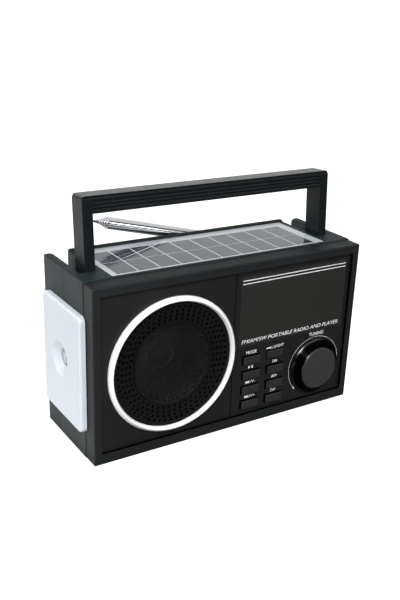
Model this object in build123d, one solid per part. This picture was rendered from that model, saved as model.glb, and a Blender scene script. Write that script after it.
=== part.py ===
"""Portable solar shortwave receiver with a side lamp, a fold-back handle and a telescopic aerial.

Frame, in millimetres: the origin is the centre of the underside, +X runs to the listener's right,
+Y from the front to the rear and +Z up. Each function builds one piece, or one group of identical
pieces, in its place at rest. At rest the raised handle leans a little to the rear and the aerial
leans on its swivel.
"""

import os
from math import cos, hypot, pi, radians, sin, tan

from build123d import *

# ---- driving dimensions -------------------------------------------------------------------------
CASE_W = 200.0
CASE_D = 70.0
CASE_H = 115.9
WALL = 2.4
FRONT_SHELL_D = 12.0
EDGE_R = 0.8

# the front shell stands a little inside the outline of the rear shell
FRONT_DROP = 0.7
FRONT_INSET = 0.4
SEAM_R = 0.35

HALF_W = CASE_W / 2
FRONT_Y = -CASE_D / 2
REAR_Y = CASE_D / 2
SEAM_Y = FRONT_Y + FRONT_SHELL_D
INNER_X = HALF_W - WALL
INNER_TOP = CASE_H - WALL
TONGUE_GAP = 0.1
TONGUE_T = 1.4
TONGUE_L = 1.6

# front bay that holds the two flat panels
BAY_MARGIN_X = 5.6
BAY_Z = (7.1, 109.4)
BAY_DEPTH = 2.2
PANEL_T = 2.0
PANEL_TUCK = 1.8
PANEL_FRONT = FRONT_Y + BAY_DEPTH
PANEL_BACK = PANEL_FRONT + PANEL_T
SPLIT_X = 0.3
SPLIT_GAP = 0.8

# loudspeaker and its round grille
SPK_X = -44.4
SPK_Z = 56.0
RING_R = 45.2
RING_BORE_R = 41.8
RING_COLLAR_R = 43.2
RING_PROUD = 3.5
DOME_R = 27.4
DOME_RISE = 4.5
HOLE_SIDE = 1.75
HOLE_PITCH = 4.1
HOLE_ROWS_R = (38.3, 35.5, 32.7, 29.9)
SPK_FLANGE_Y = -26.5
SPK_FLANGE_T = 1.0
SPK_FLANGE_HALF = 38.5
SPK_STAKE_R = 1.8
SPK_POST_OFFSET = 32.5

# dial window and tuning mechanism
WINDOW = (4.3, 91.3, 57.0, 105.5)
WINDOW_GAP = 0.1
KNOB_X = 69.3
KNOB_Z = 30.3
KNOB_R = 20.5
KNOB_FACE_R = 14.4
KNOB_GAP = 0.3
KNOB_FACE_T = 2.0
KNOB_LENGTH = 6.4
SHAFT_R = 3.0
DRUM_GROOVE_R = 21.5
CORD_Y = -27.6
CORD_R = 0.3
DIAL_PLATE_Y = CORD_Y + 1.6
IDLER_GROOVE_R = 3.0
IDLER_X = (7.0, 89.5)
POINTER_X = 48.0
RUN_GAP = 0.05
DIAL_TAB_Z = 108.0
DIAL_TOP = 104.4

# push buttons: two columns and four rows
BUTTON_COLUMNS = (15.1, 35.0)
BUTTON_ROWS = (46.4, 35.5, 24.5, 13.8)
BUTTON_HOLE_W = 15.0
BUTTON_HOLE_H = 7.2
BUTTON_CLEAR = 0.8
BUTTON_PROUD = 1.5
LIGHT_PROUD = 0.4
BUTTON_NAMES = (
    ("button_mode", "button_light"),
    ("button_play", "button_fm"),
    ("button_volume_down", "button_am"),
    ("button_volume_up", "button_sw"),
)
BUTTON_BOARD_Y = -22.6
BOARD_T = 1.6
SWITCH_SIDE = 6.0
SWITCH_H = 3.4
PLUNGER_L = 0.5

# handle and its two channels; lengths along the handle are measured from its pivot
HANDLE_PIVOT = (-3.6, 75.0)
HANDLE_LEAN = 4.0
HANDLE_REACH = 85.2
HANDLE_DEPTH = 14.4
GRIP_H = 10.8
LEG_X = (84.8, 91.4)
CHANNEL_X = (84.0, 92.0)
CHANNEL_GAP = 0.6
CHANNEL_WALL_X = 94.0
BLOCK_Z = 91.0
RIDGE_R = 4.5
PIN_R = 1.5

# raised lip along the top of the rear wall, behind the solar panel
LIP_RISE = 1.2
LIP_FRONT = 31.9

# aerial
AERIAL_X = 75.2
AERIAL_Y = 39.6
AERIAL_Z = 96.4
AERIAL_ANGLE = 14.2
TUBE_RADII = (4.0, 3.3, 2.6, 1.9, 1.2)
TUBE_WALL_GAP = 0.05
TUBE_START = 7.0
TUBE_END = 134.4
TUBE_STEP = 1.5
TUBE_INSET = 2.0
LUG_R = 2.8
LUG_HALF_T = 2.1
AERIAL_POST_R = 2.4

# solar panel
SOLAR_X = 80.2
SOLAR_Y = (-21.0, 31.7)
SOLAR_DEPTH = 2.0
SOLAR_GAP = 0.1
SOLAR_BOARD_T = 1.6
BED_Z = INNER_TOP - 2.0
CELL_COLUMNS = 10
CELL_ROWS = 2
CELL_PITCH_X = 14.93
CELL_PITCH_Y = 21.05
CELL_ORIGIN = (-76.2, -18.6)
CELL_LINE_X = 1.2
CELL_LINE_Y = 0.9
CELL_T = 0.1

# side lamp
LAMP_Y = (-25.8, 29.5)
LAMP_Z = (19.0, 95.0)
LAMP_PROUD = 4.0
LAMP_CENTRE = (4.0, 58.0)
LAMP_WALL = 1.4
LAMP_CORNER_R = 4.0
LAMP_EDGE_R = 1.6
LAMP_DIMPLE_R = 11.6
LENS_R = 5.5
LENS_SEAT_X = -HALF_W - 0.4

# battery, boards, ferrite rod and case screws
CELL_18650_R = 9.2
CELL_18650_L = 65.0
TRAY_HALF_W = 37.5
TRAY_Y = 9.6
TRAY_Z = (12.0, 42.4)
TRAY_WALL = 1.6
DOOR_HALF_W = 38.6
DOOR_Z = (11.0, 43.4)
DOOR_GAP = 0.2
MAIN_BOARD = (3.0, 96.0, 12.0, 90.0)
MAIN_BOARD_NOTCH = (80.0, 62.5)
MAIN_BOARD_Y = -6.0
FERRITE_Y = 14.0
FERRITE_Z = 101.0
FERRITE_R = 5.0
FERRITE_X = (-62.0, 48.0)
CLIP_X = (-46.0, 32.0)
SCREW_POSTS = ((-88.0, 8.0), (88.0, 8.0), (-72.0, 107.8), (72.0, 107.8))
SCREW_SHANK_R = 1.45
SCREW_HEAD_R = 2.7
SCREW_SEAT_Y = SEAM_Y + 5.0

# sockets in the right wall
USB_Z = (48.0, 61.2)
CARD_Z = (31.0, 44.2)
JACK_Z = 22.0
JACK_Y = 0.2


# ---- helpers --------------------------------------------------------------------------------------
def slab(x, y, z):
    """Box between two corners, given as a (low, high) pair for each axis."""
    size = (x[1] - x[0], y[1] - y[0], z[1] - z[0])
    return Pos(sum(x) / 2, sum(y) / 2, sum(z) / 2) * Box(*size)


def prism_x(points, x):
    """Prism between the pair x whose outline is drawn in (y, z)."""
    outline = Plane.YZ.offset(x[0]) * make_face(Polyline(*points, close=True))
    return extrude(outline, x[1] - x[0], dir=(1, 0, 0))


def rod_x(radius, y, z, x):
    """Cylinder along X between the pair x."""
    return Pos(sum(x) / 2, y, z) * Rot(0, 90, 0) * Cylinder(radius, x[1] - x[0])


def rod_y(radius, x, z, y):
    """Cylinder along Y between the pair y."""
    return Pos(x, sum(y) / 2, z) * Rot(90, 0, 0) * Cylinder(radius, y[1] - y[0])


def turned(points, x, z):
    """Solid of revolution about a Y axis through (x, z); the points are (radius, y)."""
    return Pos(x, 0, z) * revolve(make_face(Polyline(*points, close=True)), axis=Axis.Y)


def tube_y(outer, inner, x, z, y):
    """Round tube along Y."""
    return rod_y(outer, x, z, y) - rod_y(inner, x, z, (y[0] - 1, y[1] + 1))


def upright(sketch):
    """Turns a sketch drawn in (x, z) so that it faces the front."""
    return Rot(90, 0, 0) * sketch


def group(pieces):
    """One compound of separate solids."""
    return Compound([solid for piece in pieces for solid in piece.solids()])


def edges_along_y(part, x, z, reach=0.05):
    """Edges of a part that run along Y at the place (x, z)."""
    found = part.edges().filter_by(Axis.Y)
    return [e for e in found if hypot(e.center().X - x, e.center().Z - z) < reach]


# ---- case -----------------------------------------------------------------------------------------
def front_cabinet():
    """Front shell: a picture-frame rim round the panel bay, with a tongue and four screw bosses."""
    outer_x = HALF_W - FRONT_INSET
    body = slab((-outer_x, outer_x), (FRONT_Y, SEAM_Y), (0, CASE_H - FRONT_DROP))
    rim = body.faces().sort_by(Axis.Y)[0].edges()
    body = fillet(body.edges().filter_by(Axis.Y) + rim, EDGE_R)
    body -= slab((-INNER_X, INNER_X), (PANEL_FRONT, SEAM_Y), (WALL, INNER_TOP))
    bay_x = HALF_W - BAY_MARGIN_X
    body -= slab((-bay_x, bay_x), (FRONT_Y, PANEL_FRONT), BAY_Z)
    half_bar = 1.1
    bar_x = (SPLIT_X - half_bar, SPLIT_X + half_bar)
    mullion = slab(bar_x, (PANEL_BACK, PANEL_BACK + PANEL_T), (WALL, INNER_TOP))
    return body + tongue() + mullion + screw_bosses()


def tongue():
    """Locating lip that reaches from the front shell into the rear shell."""
    root_l = 4.0
    lip_x = INNER_X - TONGUE_GAP
    lip_z = (WALL + TONGUE_GAP, INNER_TOP - TONGUE_GAP)
    root = slab((-INNER_X, INNER_X), (SEAM_Y - root_l, SEAM_Y), (WALL, INNER_TOP))
    lip = slab((-lip_x, lip_x), (SEAM_Y, SEAM_Y + TONGUE_L), lip_z)
    bore_x = INNER_X - TONGUE_T
    bore_z = (WALL + TONGUE_T, INNER_TOP - TONGUE_T)
    return root + lip - slab((-bore_x, bore_x), (SEAM_Y - root_l, SEAM_Y + TONGUE_L), bore_z)


def screw_bosses():
    """Four blind bosses in the front shell, each joined to the wall by a web."""
    boss_y = (PANEL_BACK + 1.2, SEAM_Y)
    boss_r = 3.0
    half_web = 1.0
    overlap = 0.2
    pilot_y = SEAM_Y - 5.0
    bosses = Part()
    for x, z in SCREW_POSTS:
        wall_z = (WALL - overlap, z) if z < CASE_H / 2 else (z, INNER_TOP + overlap)
        bosses += rod_y(boss_r, x, z, boss_y)
        bosses += slab((x - half_web, x + half_web), boss_y, wall_z)
    for x, z in SCREW_POSTS:
        bosses -= rod_y(SCREW_SHANK_R, x, z, (pilot_y, SEAM_Y))
    return bosses


def leaning_y(z, offset):
    """Y at a height z of the line that runs parallel to the handle's leg, offset from its middle."""
    lean = radians(HANDLE_LEAN)
    return HANDLE_PIVOT[0] + (z - HANDLE_PIVOT[1]) * tan(lean) + offset / cos(lean)


def channel_floor():
    """Height of the bottom of the handle channels."""
    return HANDLE_PIVOT[1] - HANDLE_DEPTH / 2 - CHANNEL_GAP


def channel_outline(front, low, rear, high):
    """Outline in (y, z) whose front side is parallel to the raised leg."""
    return [(leaning_y(low, front), low), (rear, low), (rear, high), (leaning_y(high, front), high)]


def channel(side):
    """Space that the handle leg swings in; side is -1 for the left and 1 for the right."""
    front = -HANDLE_DEPTH / 2 - CHANNEL_GAP
    outline = channel_outline(front, channel_floor(), REAR_Y + 1, CASE_H + 1)
    return prism_x(outline, sorted(side * v for v in CHANNEL_X))


def channel_block(side):
    """Walls of the handle channel, which widen to the case wall in the upper part."""
    front = -HANDLE_DEPTH / 2 - CHANNEL_GAP - WALL
    rear = REAR_Y - WALL
    inner = CHANNEL_X[0] - WALL
    walls = channel_outline(front, channel_floor() - WALL, rear, INNER_TOP)
    corner = channel_outline(front, BLOCK_Z, rear, INNER_TOP)
    block = prism_x(walls, sorted((side * inner, side * CHANNEL_WALL_X)))
    return block + prism_x(corner, sorted((side * inner, side * INNER_X)))


def rear_cabinet():
    """Rear shell: top with the solar pocket, handle channels, lamp window, battery bay and sockets."""
    body = slab((-HALF_W, HALF_W), (SEAM_Y, REAR_Y), (0, CASE_H))
    rim = body.faces().sort_by(Axis.Y)[-1].edges()
    body = fillet(body.edges().filter_by(Axis.Y) + rim, EDGE_R)
    seam = body.faces().sort_by(Axis.Y)[0].edges()
    body = fillet([e for e in seam if e.center().Z > CASE_H / 4], SEAM_R)
    body -= slab((-INNER_X, INNER_X), (SEAM_Y, REAR_Y - WALL), (WALL, INNER_TOP))
    bed_x = CHANNEL_X[0] - WALL
    body += slab((-bed_x, bed_x), (SEAM_Y + WALL, REAR_Y - WALL), (BED_Z, INNER_TOP))
    for side in (-1, 1):
        body += channel_block(side)
        body -= channel(side)
    body = round_ridges(body) + rear_lip()
    body += rear_posts() + battery_tray() + ferrite_clips()
    pocket_z = (CASE_H - SOLAR_DEPTH, CASE_H + 1)
    body -= slab((-SOLAR_X, SOLAR_X), SOLAR_Y, pocket_z)
    body -= lamp_window()
    body -= slab((-DOOR_HALF_W, DOOR_HALF_W), (REAR_Y - WALL, REAR_Y + 1), DOOR_Z)
    body -= pivot_bores() + post_bores() + socket_holes() + sound_slots()
    return body - rod_y(AERIAL_POST_R + RUN_GAP, AERIAL_X, AERIAL_Z, (REAR_Y - 2, REAR_Y + 1))


def round_ridges(body):
    """Rounds the top edges of the two ridges and of the block between the channels."""
    inner = edges_along_y(body, -CHANNEL_X[1], CASE_H) + edges_along_y(body, CHANNEL_X[1], CASE_H)
    body = fillet(inner, RIDGE_R)
    block = edges_along_y(body, -CHANNEL_X[0], CASE_H) + edges_along_y(body, CHANNEL_X[0], CASE_H)
    return fillet(block, EDGE_R)


def rear_lip():
    """Lip with rounded top and ends that stands along the rear wall between the channels."""
    top = CASE_H + LIP_RISE
    x = CHANNEL_X[0]
    lip = slab((-x, x), (LIP_FRONT, REAR_Y), (CASE_H - SOLAR_DEPTH - WALL, top))
    lip = fillet(edges_along_y(lip, -x, top) + edges_along_y(lip, x, top), LIP_RISE)
    return fillet(lip.faces().filter_by(Axis.Z).sort_by(Axis.Z)[-1].edges().filter_by(Axis.X), EDGE_R)


def rear_posts():
    """Four long tubes that carry the case screws to the front bosses."""
    post_r = 3.5
    return Part() + [rod_y(post_r, x, z, (SEAM_Y, REAR_Y - WALL)) for x, z in SCREW_POSTS]


def post_bores():
    """Clearance holes for the screw shanks, with deep counterbores from the rear face."""
    clearance_r = 1.7
    bores = Part()
    for x, z in SCREW_POSTS:
        bores += rod_y(clearance_r, x, z, (SEAM_Y, REAR_Y))
        bores += rod_y(SCREW_HEAD_R + 0.1, x, z, (SCREW_SEAT_Y, REAR_Y))
    return bores


def pivot_bores():
    """Blind bores for the handle pins in the channel walls."""
    return Part() + [rod_x(PIN_R, *HANDLE_PIVOT, x) for x in pin_spans()]


def pin_spans():
    """Ends of the left and of the right handle pin."""
    skin = 0.5
    reach = (CHANNEL_X[0] - WALL + skin, CHANNEL_WALL_X - skin)
    return [sorted(side * v for v in reach) for side in (-1, 1)]


def battery_tray():
    """Moulded tray behind the battery door."""
    x = TRAY_HALF_W + TRAY_WALL
    z = (TRAY_Z[0] - TRAY_WALL, TRAY_Z[1] + TRAY_WALL)
    outer = slab((-x, x), (TRAY_Y - TRAY_WALL, REAR_Y - WALL), z)
    return outer - slab((-TRAY_HALF_W, TRAY_HALF_W), (TRAY_Y, REAR_Y - WALL), TRAY_Z)


def ferrite_clips():
    """Two open hooks under the top that hold the ferrite rod."""
    half_x = 1.5
    half_y = FERRITE_R + 2.0
    hook = 3.5
    clips = Part()
    for x in CLIP_X:
        y = (FERRITE_Y - half_y, FERRITE_Y + half_y)
        clips += slab((x - half_x, x + half_x), y, (FERRITE_Z - hook, BED_Z))
    return clips - rod_x(FERRITE_R, FERRITE_Y, FERRITE_Z, FERRITE_X)


def lamp_window():
    """Opening in the left wall that the lamp shines through."""
    y, z = LAMP_CENTRE
    half_y = 21.0
    half_z = 30.0
    return slab((-HALF_W - 1, -INNER_X), (y - half_y, y + half_y), (z - half_z, z + half_z))


def socket_holes():
    """Openings in the right wall for the media slots and the charging jack."""
    x = (INNER_X - 1, HALF_W + 1)
    gap = 0.4
    usb = slab(x, (-4.3, 2.3), (USB_Z[0] - gap, USB_Z[1] + gap))
    card = slab(x, (-4.6, -2.0), (CARD_Z[0] - gap, CARD_Z[1] + gap))
    jack = rod_x(3.2, JACK_Y, JACK_Z, x)
    return usb + card + jack


def sound_slots():
    """Row of narrow slots in the rear wall behind the loudspeaker."""
    count = 6
    pitch = 5.0
    half_slot = 0.9
    slot_z = (56, 80)
    slots = Part()
    for i in range(count):
        x = SPK_X + pitch * (i - (count - 1) / 2)
        slots += slab((x - half_slot, x + half_slot), (REAR_Y - WALL - 1, REAR_Y + 1), slot_z)
    return slots


def case_screws():
    """Four self-tapping screws that hold the two shells together."""
    head_t = 2.0
    long = 1.6
    thin = 0.35
    screws = []
    for x, z in SCREW_POSTS:
        shank = rod_y(SCREW_SHANK_R, x, z, (SEAM_Y - 4.6, SCREW_SEAT_Y))
        head = rod_y(SCREW_HEAD_R, x, z, (SCREW_SEAT_Y, SCREW_SEAT_Y + head_t))
        cross_y = (SCREW_SEAT_Y + head_t / 2, SCREW_SEAT_Y + 2 * head_t)
        cross = slab((x - long, x + long), cross_y, (z - thin, z + thin))
        cross += slab((x - thin, x + thin), cross_y, (z - long, z + long))
        screws.append(shank + head - cross)
    return group(screws)


# ---- front panels -----------------------------------------------------------------------------------
def panel_z():
    """Lower and upper edge of both panels, tucked behind the rim."""
    return (BAY_Z[0] - PANEL_TUCK, BAY_Z[1] + PANEL_TUCK)


def panel_reach():
    """Outer edge of both panels, tucked behind the rim."""
    return HALF_W - BAY_MARGIN_X + PANEL_TUCK


def speaker_posts():
    """Places of the four posts that carry the loudspeaker."""
    return [
        (SPK_X + sx * SPK_POST_OFFSET, SPK_Z + sz * SPK_POST_OFFSET) for sx in (-1, 1) for sz in (-1, 1)
    ]


def speaker_panel():
    """Left panel with the round opening and four heat-staked speaker posts."""
    right = SPLIT_X - SPLIT_GAP / 2
    plate = slab((-panel_reach(), right), (PANEL_FRONT, PANEL_BACK), panel_z())
    plate -= rod_y(RING_COLLAR_R, SPK_X, SPK_Z, (PANEL_FRONT - 1, PANEL_BACK + 1))
    post_r = 2.6
    stake_head_r = 2.8
    flange_back = SPK_FLANGE_Y + SPK_FLANGE_T
    for x, z in speaker_posts():
        plate += rod_y(post_r, x, z, (PANEL_FRONT + 0.5, SPK_FLANGE_Y))
        plate += rod_y(SPK_STAKE_R, x, z, (SPK_FLANGE_Y, flange_back))
        plate += rod_y(stake_head_r, x, z, (flange_back, flange_back + 1.0))
    return plate


def control_panel():
    """Right panel with the window, the button holes, the shaft hole and posts for the parts behind."""
    left = SPLIT_X + SPLIT_GAP / 2
    through = (PANEL_FRONT - 1, PANEL_BACK + 1)
    plate = slab((left, panel_reach()), (PANEL_FRONT, PANEL_BACK), panel_z())
    plate -= slab(WINDOW[:2], through, WINDOW[2:])
    plate -= rod_y(SHAFT_R + 1.0, KNOB_X, KNOB_Z, through)
    for x in BUTTON_COLUMNS:
        for z in BUTTON_ROWS:
            half_w = BUTTON_HOLE_W / 2
            half_h = BUTTON_HOLE_H / 2
            plate -= slab((x - half_w, x + half_w), through, (z - half_h, z + half_h))
    post_r = 1.3
    post_root = PANEL_BACK - 0.5
    for x, z in dial_posts():
        plate += rod_y(post_r, x, z, (post_root, DIAL_PLATE_Y))
    for x, z in board_posts():
        plate += rod_y(post_r, x, z, (post_root, BUTTON_BOARD_Y))
    return plate


def dial_posts():
    """Places of the posts that carry the dial plate; the lower pair stands between the cord runs."""
    run_z = cord_run_z()
    middle = sum(run_z) / 2
    return [(8.0, DIAL_TAB_Z), (92.0, DIAL_TAB_Z), (25.0, middle), (70.0, middle)]


def board_posts():
    """Places of the posts that carry the button board, beside and between the button columns."""
    middle = sum(BUTTON_COLUMNS) / 2
    return [(middle, 19.1), (middle, 40.9), (5.6, 29.9)]


def display_window():
    """Smoked window with a gluing flange behind the panel."""
    x = (WINDOW[0] + WINDOW_GAP, WINDOW[1] - WINDOW_GAP)
    z = (WINDOW[2] + WINDOW_GAP, WINDOW[3] - WINDOW_GAP)
    pane = slab(x, (PANEL_FRONT, PANEL_BACK), z)
    flange = slab((x[0] - 1, x[1] + 1), (PANEL_BACK, PANEL_BACK + 0.8), (z[0] - 1, z[1] + 1))
    return pane + flange


def speaker_ring():
    """Gloss trim ring that stands proud round the grille, with a collar through the panel."""
    crest = PANEL_FRONT - RING_PROUD
    points = [
        (RING_BORE_R, PANEL_BACK + 0.9),
        (RING_COLLAR_R, PANEL_BACK + 0.9),
        (RING_COLLAR_R, PANEL_FRONT),
        (RING_R, PANEL_FRONT),
        (RING_R, crest + 2.2),
        (RING_R - 0.5, crest + 1.3),
        (RING_R - 1.5, crest + 0.25),
        (RING_R - 2.0, crest),
        (RING_R - 2.5, crest + 0.15),
        (RING_BORE_R, crest + 1.9),
    ]
    return turned(points, SPK_X, SPK_Z)


def grille_y(radius):
    """Front surface of the shallow cone that the perforated ring follows."""
    return PANEL_FRONT + 1.4 - (radius - DOME_R) * 0.13


def speaker_grille():
    """Dished ring with four rows of square holes round the dome."""
    thick = 1.4
    inner_r = DOME_R + 0.2
    cutter_l = 12.0
    outer_r = RING_BORE_R - 0.02
    dish = [
        (inner_r, grille_y(inner_r)),
        (outer_r, grille_y(outer_r)),
        (outer_r, grille_y(outer_r) + thick),
        (inner_r, grille_y(inner_r) + thick),
    ]
    holes = Sketch()
    for radius in HOLE_ROWS_R:
        count = round(2 * pi * radius / HOLE_PITCH)
        holes += PolarLocations(radius, count) * Rectangle(HOLE_SIDE, HOLE_SIDE)
    cutter = extrude(upright(holes), cutter_l)
    cutter = Pos(SPK_X, PANEL_FRONT + cutter_l / 2, SPK_Z) * cutter
    return turned(dish, SPK_X, SPK_Z) - cutter


def grille_dome():
    """Convex mesh dome in the middle of the grille, with a rim behind the ring."""
    rim_y = grille_y(DOME_R)
    thick = 0.6
    radius = (DOME_R**2 + DOME_RISE**2) / (2 * DOME_RISE)
    centre_y = rim_y - DOME_RISE + radius
    ball = Pos(SPK_X, centre_y, SPK_Z) * (Sphere(radius) - Sphere(radius - thick))
    cap = ball & rod_y(DOME_R, SPK_X, SPK_Z, (rim_y - DOME_RISE - 1, rim_y + thick))
    collar = tube_y(DOME_R, DOME_R - 0.8, SPK_X, SPK_Z, (rim_y, rim_y + 2.0))
    flange = tube_y(DOME_R + 2, DOME_R - 0.8, SPK_X, SPK_Z, (rim_y + 1.5, rim_y + 2.1))
    return cap + collar + flange


# ---- loudspeaker --------------------------------------------------------------------------------------
def speaker_basket():
    """Pressed steel basket with a square flange and four windows."""
    y0 = SPK_FLANGE_Y
    corner = 2.5
    mouth_r = 34.0
    through = (y0 - 1, y0 + 2)
    flange = slab(
        (SPK_X - SPK_FLANGE_HALF, SPK_X + SPK_FLANGE_HALF),
        (y0, y0 + SPK_FLANGE_T),
        (SPK_Z - SPK_FLANGE_HALF, SPK_Z + SPK_FLANGE_HALF),
    )
    flange = chamfer(flange.edges().filter_by(Axis.Y), corner)
    flange -= rod_y(mouth_r, SPK_X, SPK_Z, through)
    for x, z in speaker_posts():
        flange -= rod_y(SPK_STAKE_R, x, z, through)
    wall = [
        (34.0, y0), (35.0, y0), (35.0, y0 + 3.0), (20.0, y0 + 11.0), (20.0, y0 + 15.5),
        (7.7, y0 + 15.5), (7.7, y0 + 14.5), (19.0, y0 + 14.5), (19.0, y0 + 12.4),
        (17.0, y0 + 12.4), (17.0, y0 + 11.8), (18.6, y0 + 10.5), (34.0, y0 + 2.3),
    ]  # fmt: skip
    basket = turned(wall, SPK_X, SPK_Z)
    for angle in (0, 90, 180, 270):
        opening = Pos(26, 0, 0) * Box(9, 12, 18)
        basket -= Pos(SPK_X, y0 + 6.0, SPK_Z) * Rot(0, angle + 45, 0) * opening
    return flange + basket


def speaker_surround():
    """Half-roll rubber surround between the cone and the flange."""
    y0 = SPK_FLANGE_Y
    roll_r = 2.2
    thick = 0.5
    middle = 31.4
    roll = Circle(roll_r) - Circle(roll_r - thick)
    roll &= Pos(0, -roll_r / 2) * Rectangle(2 * roll_r, roll_r)
    section = Pos(middle, y0 + 0.0) * roll
    section += Pos(middle + roll_r + 1.3 - thick / 2, y0 - thick / 2) * Rectangle(2.6 + thick, thick)
    return Pos(SPK_X, 0, SPK_Z) * revolve(section, axis=Axis.Y)


def speaker_cone():
    """Paper cone from the voice coil to the surround."""
    y0 = SPK_FLANGE_Y
    points = [(7.2, y0 + 10.6), (29.1, y0 - 0.4), (29.1, y0 + 0.3), (7.8, y0 + 11.1), (7.2, y0 + 11.1)]
    return turned(points, SPK_X, SPK_Z)


def speaker_dust_cap():
    """Domed cap that closes the middle of the cone."""
    radius = 12.0
    rim_r = 9.0
    rim_y = SPK_FLANGE_Y + 9.45
    centre_y = rim_y + (radius**2 - rim_r**2) ** 0.5
    ball = Pos(SPK_X, centre_y, SPK_Z) * (Sphere(radius) - Sphere(radius - 0.5))
    return ball & rod_y(rim_r, SPK_X, SPK_Z, (rim_y - 10, rim_y))


def voice_coil():
    """Coil former with its winding, in the magnet gap."""
    y0 = SPK_FLANGE_Y
    return tube_y(7.2, 6.7, SPK_X, SPK_Z, (y0 + 10.6, y0 + 19.0))


def speaker_spider():
    """Corrugated centring disc glued to the basket ledge."""
    y0 = SPK_FLANGE_Y + 11.9
    low = [(7.5 + i * 2.0, y0 + 0.2 * (i % 2)) for i in range(5)] + [(16.9, y0)]
    high = [(r, y - 0.3) for r, y in reversed(low)]
    return turned(low + high, SPK_X, SPK_Z)


def speaker_magnet():
    """Ferrite ring magnet."""
    y0 = SPK_FLANGE_Y + 18.0
    return tube_y(20.0, 9.0, SPK_X, SPK_Z, (y0, y0 + 9.0))


def magnet_plates():
    """Steel top plate, and the back plate with its centre pole."""
    y0 = SPK_FLANGE_Y + 15.5
    top = tube_y(18.0, 7.7, SPK_X, SPK_Z, (y0, y0 + 2.5))
    back = rod_y(18.0, SPK_X, SPK_Z, (y0 + 11.5, y0 + 14.0))
    pole = rod_y(6.2, SPK_X, SPK_Z, (y0, y0 + 11.5))
    return group([top, back + pole])


# ---- tuning -------------------------------------------------------------------------------------------
def cord_run_z():
    """Heights of the lower and the upper straight run of the dial cord."""
    low = KNOB_Z + DRUM_GROOVE_R
    return (low, low + 2 * IDLER_GROOVE_R)


def tuning_knob():
    """Round knob with a short skirt, a conical shoulder and a flat face, both edges rounded."""
    back = PANEL_FRONT - KNOB_GAP
    front = back - KNOB_LENGTH
    skirt = back - 0.5
    bend = (KNOB_R - 1.0, skirt - 1.5)
    rim = (KNOB_FACE_R + 0.7, front + 0.7)
    outline = [
        Line((SHAFT_R, back), (KNOB_R, back)),
        Line((KNOB_R, back), (KNOB_R, skirt)),
        Bezier((KNOB_R, skirt), (KNOB_R, skirt - 0.9), bend),
        Line(bend, rim),
        Bezier(rim, (KNOB_FACE_R + 0.3, front), (KNOB_FACE_R, front)),
        Line((KNOB_FACE_R, front), (0, front)),
        Line((0, front), (0, front + KNOB_FACE_T)),
        Line((0, front + KNOB_FACE_T), (SHAFT_R, front + KNOB_FACE_T)),
        Line((SHAFT_R, front + KNOB_FACE_T), (SHAFT_R, back)),
    ]
    solid = revolve(make_face(outline), axis=Axis.Y)
    hub_r = SHAFT_R * 2
    hollow_r = KNOB_FACE_R + 1.6
    hollow = tube_y(hollow_r, hub_r, 0, 0, (back - KNOB_LENGTH / 2, back + 1))
    return Pos(KNOB_X, 0, KNOB_Z) * (solid - hollow)


def tuning_shaft():
    """Shaft from the tuning capacitor through the drum to the knob."""
    front = PANEL_FRONT - KNOB_GAP - KNOB_LENGTH + KNOB_FACE_T
    return rod_y(SHAFT_R, KNOB_X, KNOB_Z, (front, -10.0))


def dial_drum():
    """Drum with a cord groove in its rim and four lightening windows."""
    half_t = 1.5
    flange_r = DRUM_GROOVE_R + 1.0
    groove_r = DRUM_GROOVE_R - CORD_R - 0.1
    points = [
        (SHAFT_R, CORD_Y - half_t),
        (flange_r, CORD_Y - half_t),
        (flange_r, CORD_Y - 0.9),
        (groove_r, CORD_Y - 0.5),
        (groove_r, CORD_Y + 0.5),
        (flange_r, CORD_Y + 0.9),
        (flange_r, CORD_Y + half_t),
        (SHAFT_R, CORD_Y + half_t),
    ]
    drum = turned(points, KNOB_X, KNOB_Z)
    drum += tube_y(5.5, SHAFT_R, KNOB_X, KNOB_Z, (CORD_Y + half_t, CORD_Y + half_t + 5))
    for angle in (45, 135, 225, 315):
        x = KNOB_X + 12.5 * cos(radians(angle))
        z = KNOB_Z + 12.5 * sin(radians(angle))
        drum -= rod_y(4.6, x, z, (CORD_Y - 2, CORD_Y + 2))
    return drum


def idler(x):
    """Small grooved wheel that turns the cord round the end of the dial."""
    half_t = 0.9
    flange_r = IDLER_GROOVE_R + 0.7
    groove_r = IDLER_GROOVE_R - CORD_R - 0.1
    bore_r = 1.05
    points = [
        (bore_r, CORD_Y - half_t),
        (flange_r, CORD_Y - half_t),
        (groove_r, CORD_Y - 0.45),
        (groove_r, CORD_Y + 0.45),
        (flange_r, CORD_Y + half_t),
        (bore_r, CORD_Y + half_t),
    ]
    return turned(points, x, sum(cord_run_z()) / 2)


def dial_cord():
    """Closed cord loop round both idlers, with one turn round the drum."""
    low, high = cord_run_z()
    middle = (low + high) / 2
    left, right = IDLER_X
    cord = rod_x(CORD_R, CORD_Y, low, (left, right)) + rod_x(CORD_R, CORD_Y, high, (left, right))
    for x, keep in ((left, (left - 8, left)), (right, (right, right + 8))):
        loop = upright_torus(IDLER_GROOVE_R, x, middle)
        cord += loop & slab(keep, (CORD_Y - 1, CORD_Y + 1), (low - 1, high + 1))
    return cord + upright_torus(DRUM_GROOVE_R, KNOB_X, KNOB_Z)


def upright_torus(radius, x, z):
    """Turn of cord about a Y axis."""
    return Pos(x, CORD_Y, z) * Rot(90, 0, 0) * Torus(radius, CORD_R)


def dial_plate():
    """Printed scale plate that also carries the idler pins."""
    left, right = (3.4, 94.0)
    y = (DIAL_PLATE_Y, DIAL_PLATE_Y + 1.0)
    half_tab = 3.0
    pin_r = 1.0
    middle = sum(cord_run_z()) / 2
    plate = slab((left, right), y, (middle - 1.6, DIAL_TOP))
    for x, z in dial_posts()[:2]:
        tab_x = (x - half_tab, min(x + half_tab, right))
        plate += slab(tab_x, y, (DIAL_TOP, z + 2.0))
    for x in IDLER_X:
        plate += rod_y(pin_r, x, middle, (CORD_Y - 1.4, DIAL_PLATE_Y))
    return plate


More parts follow.
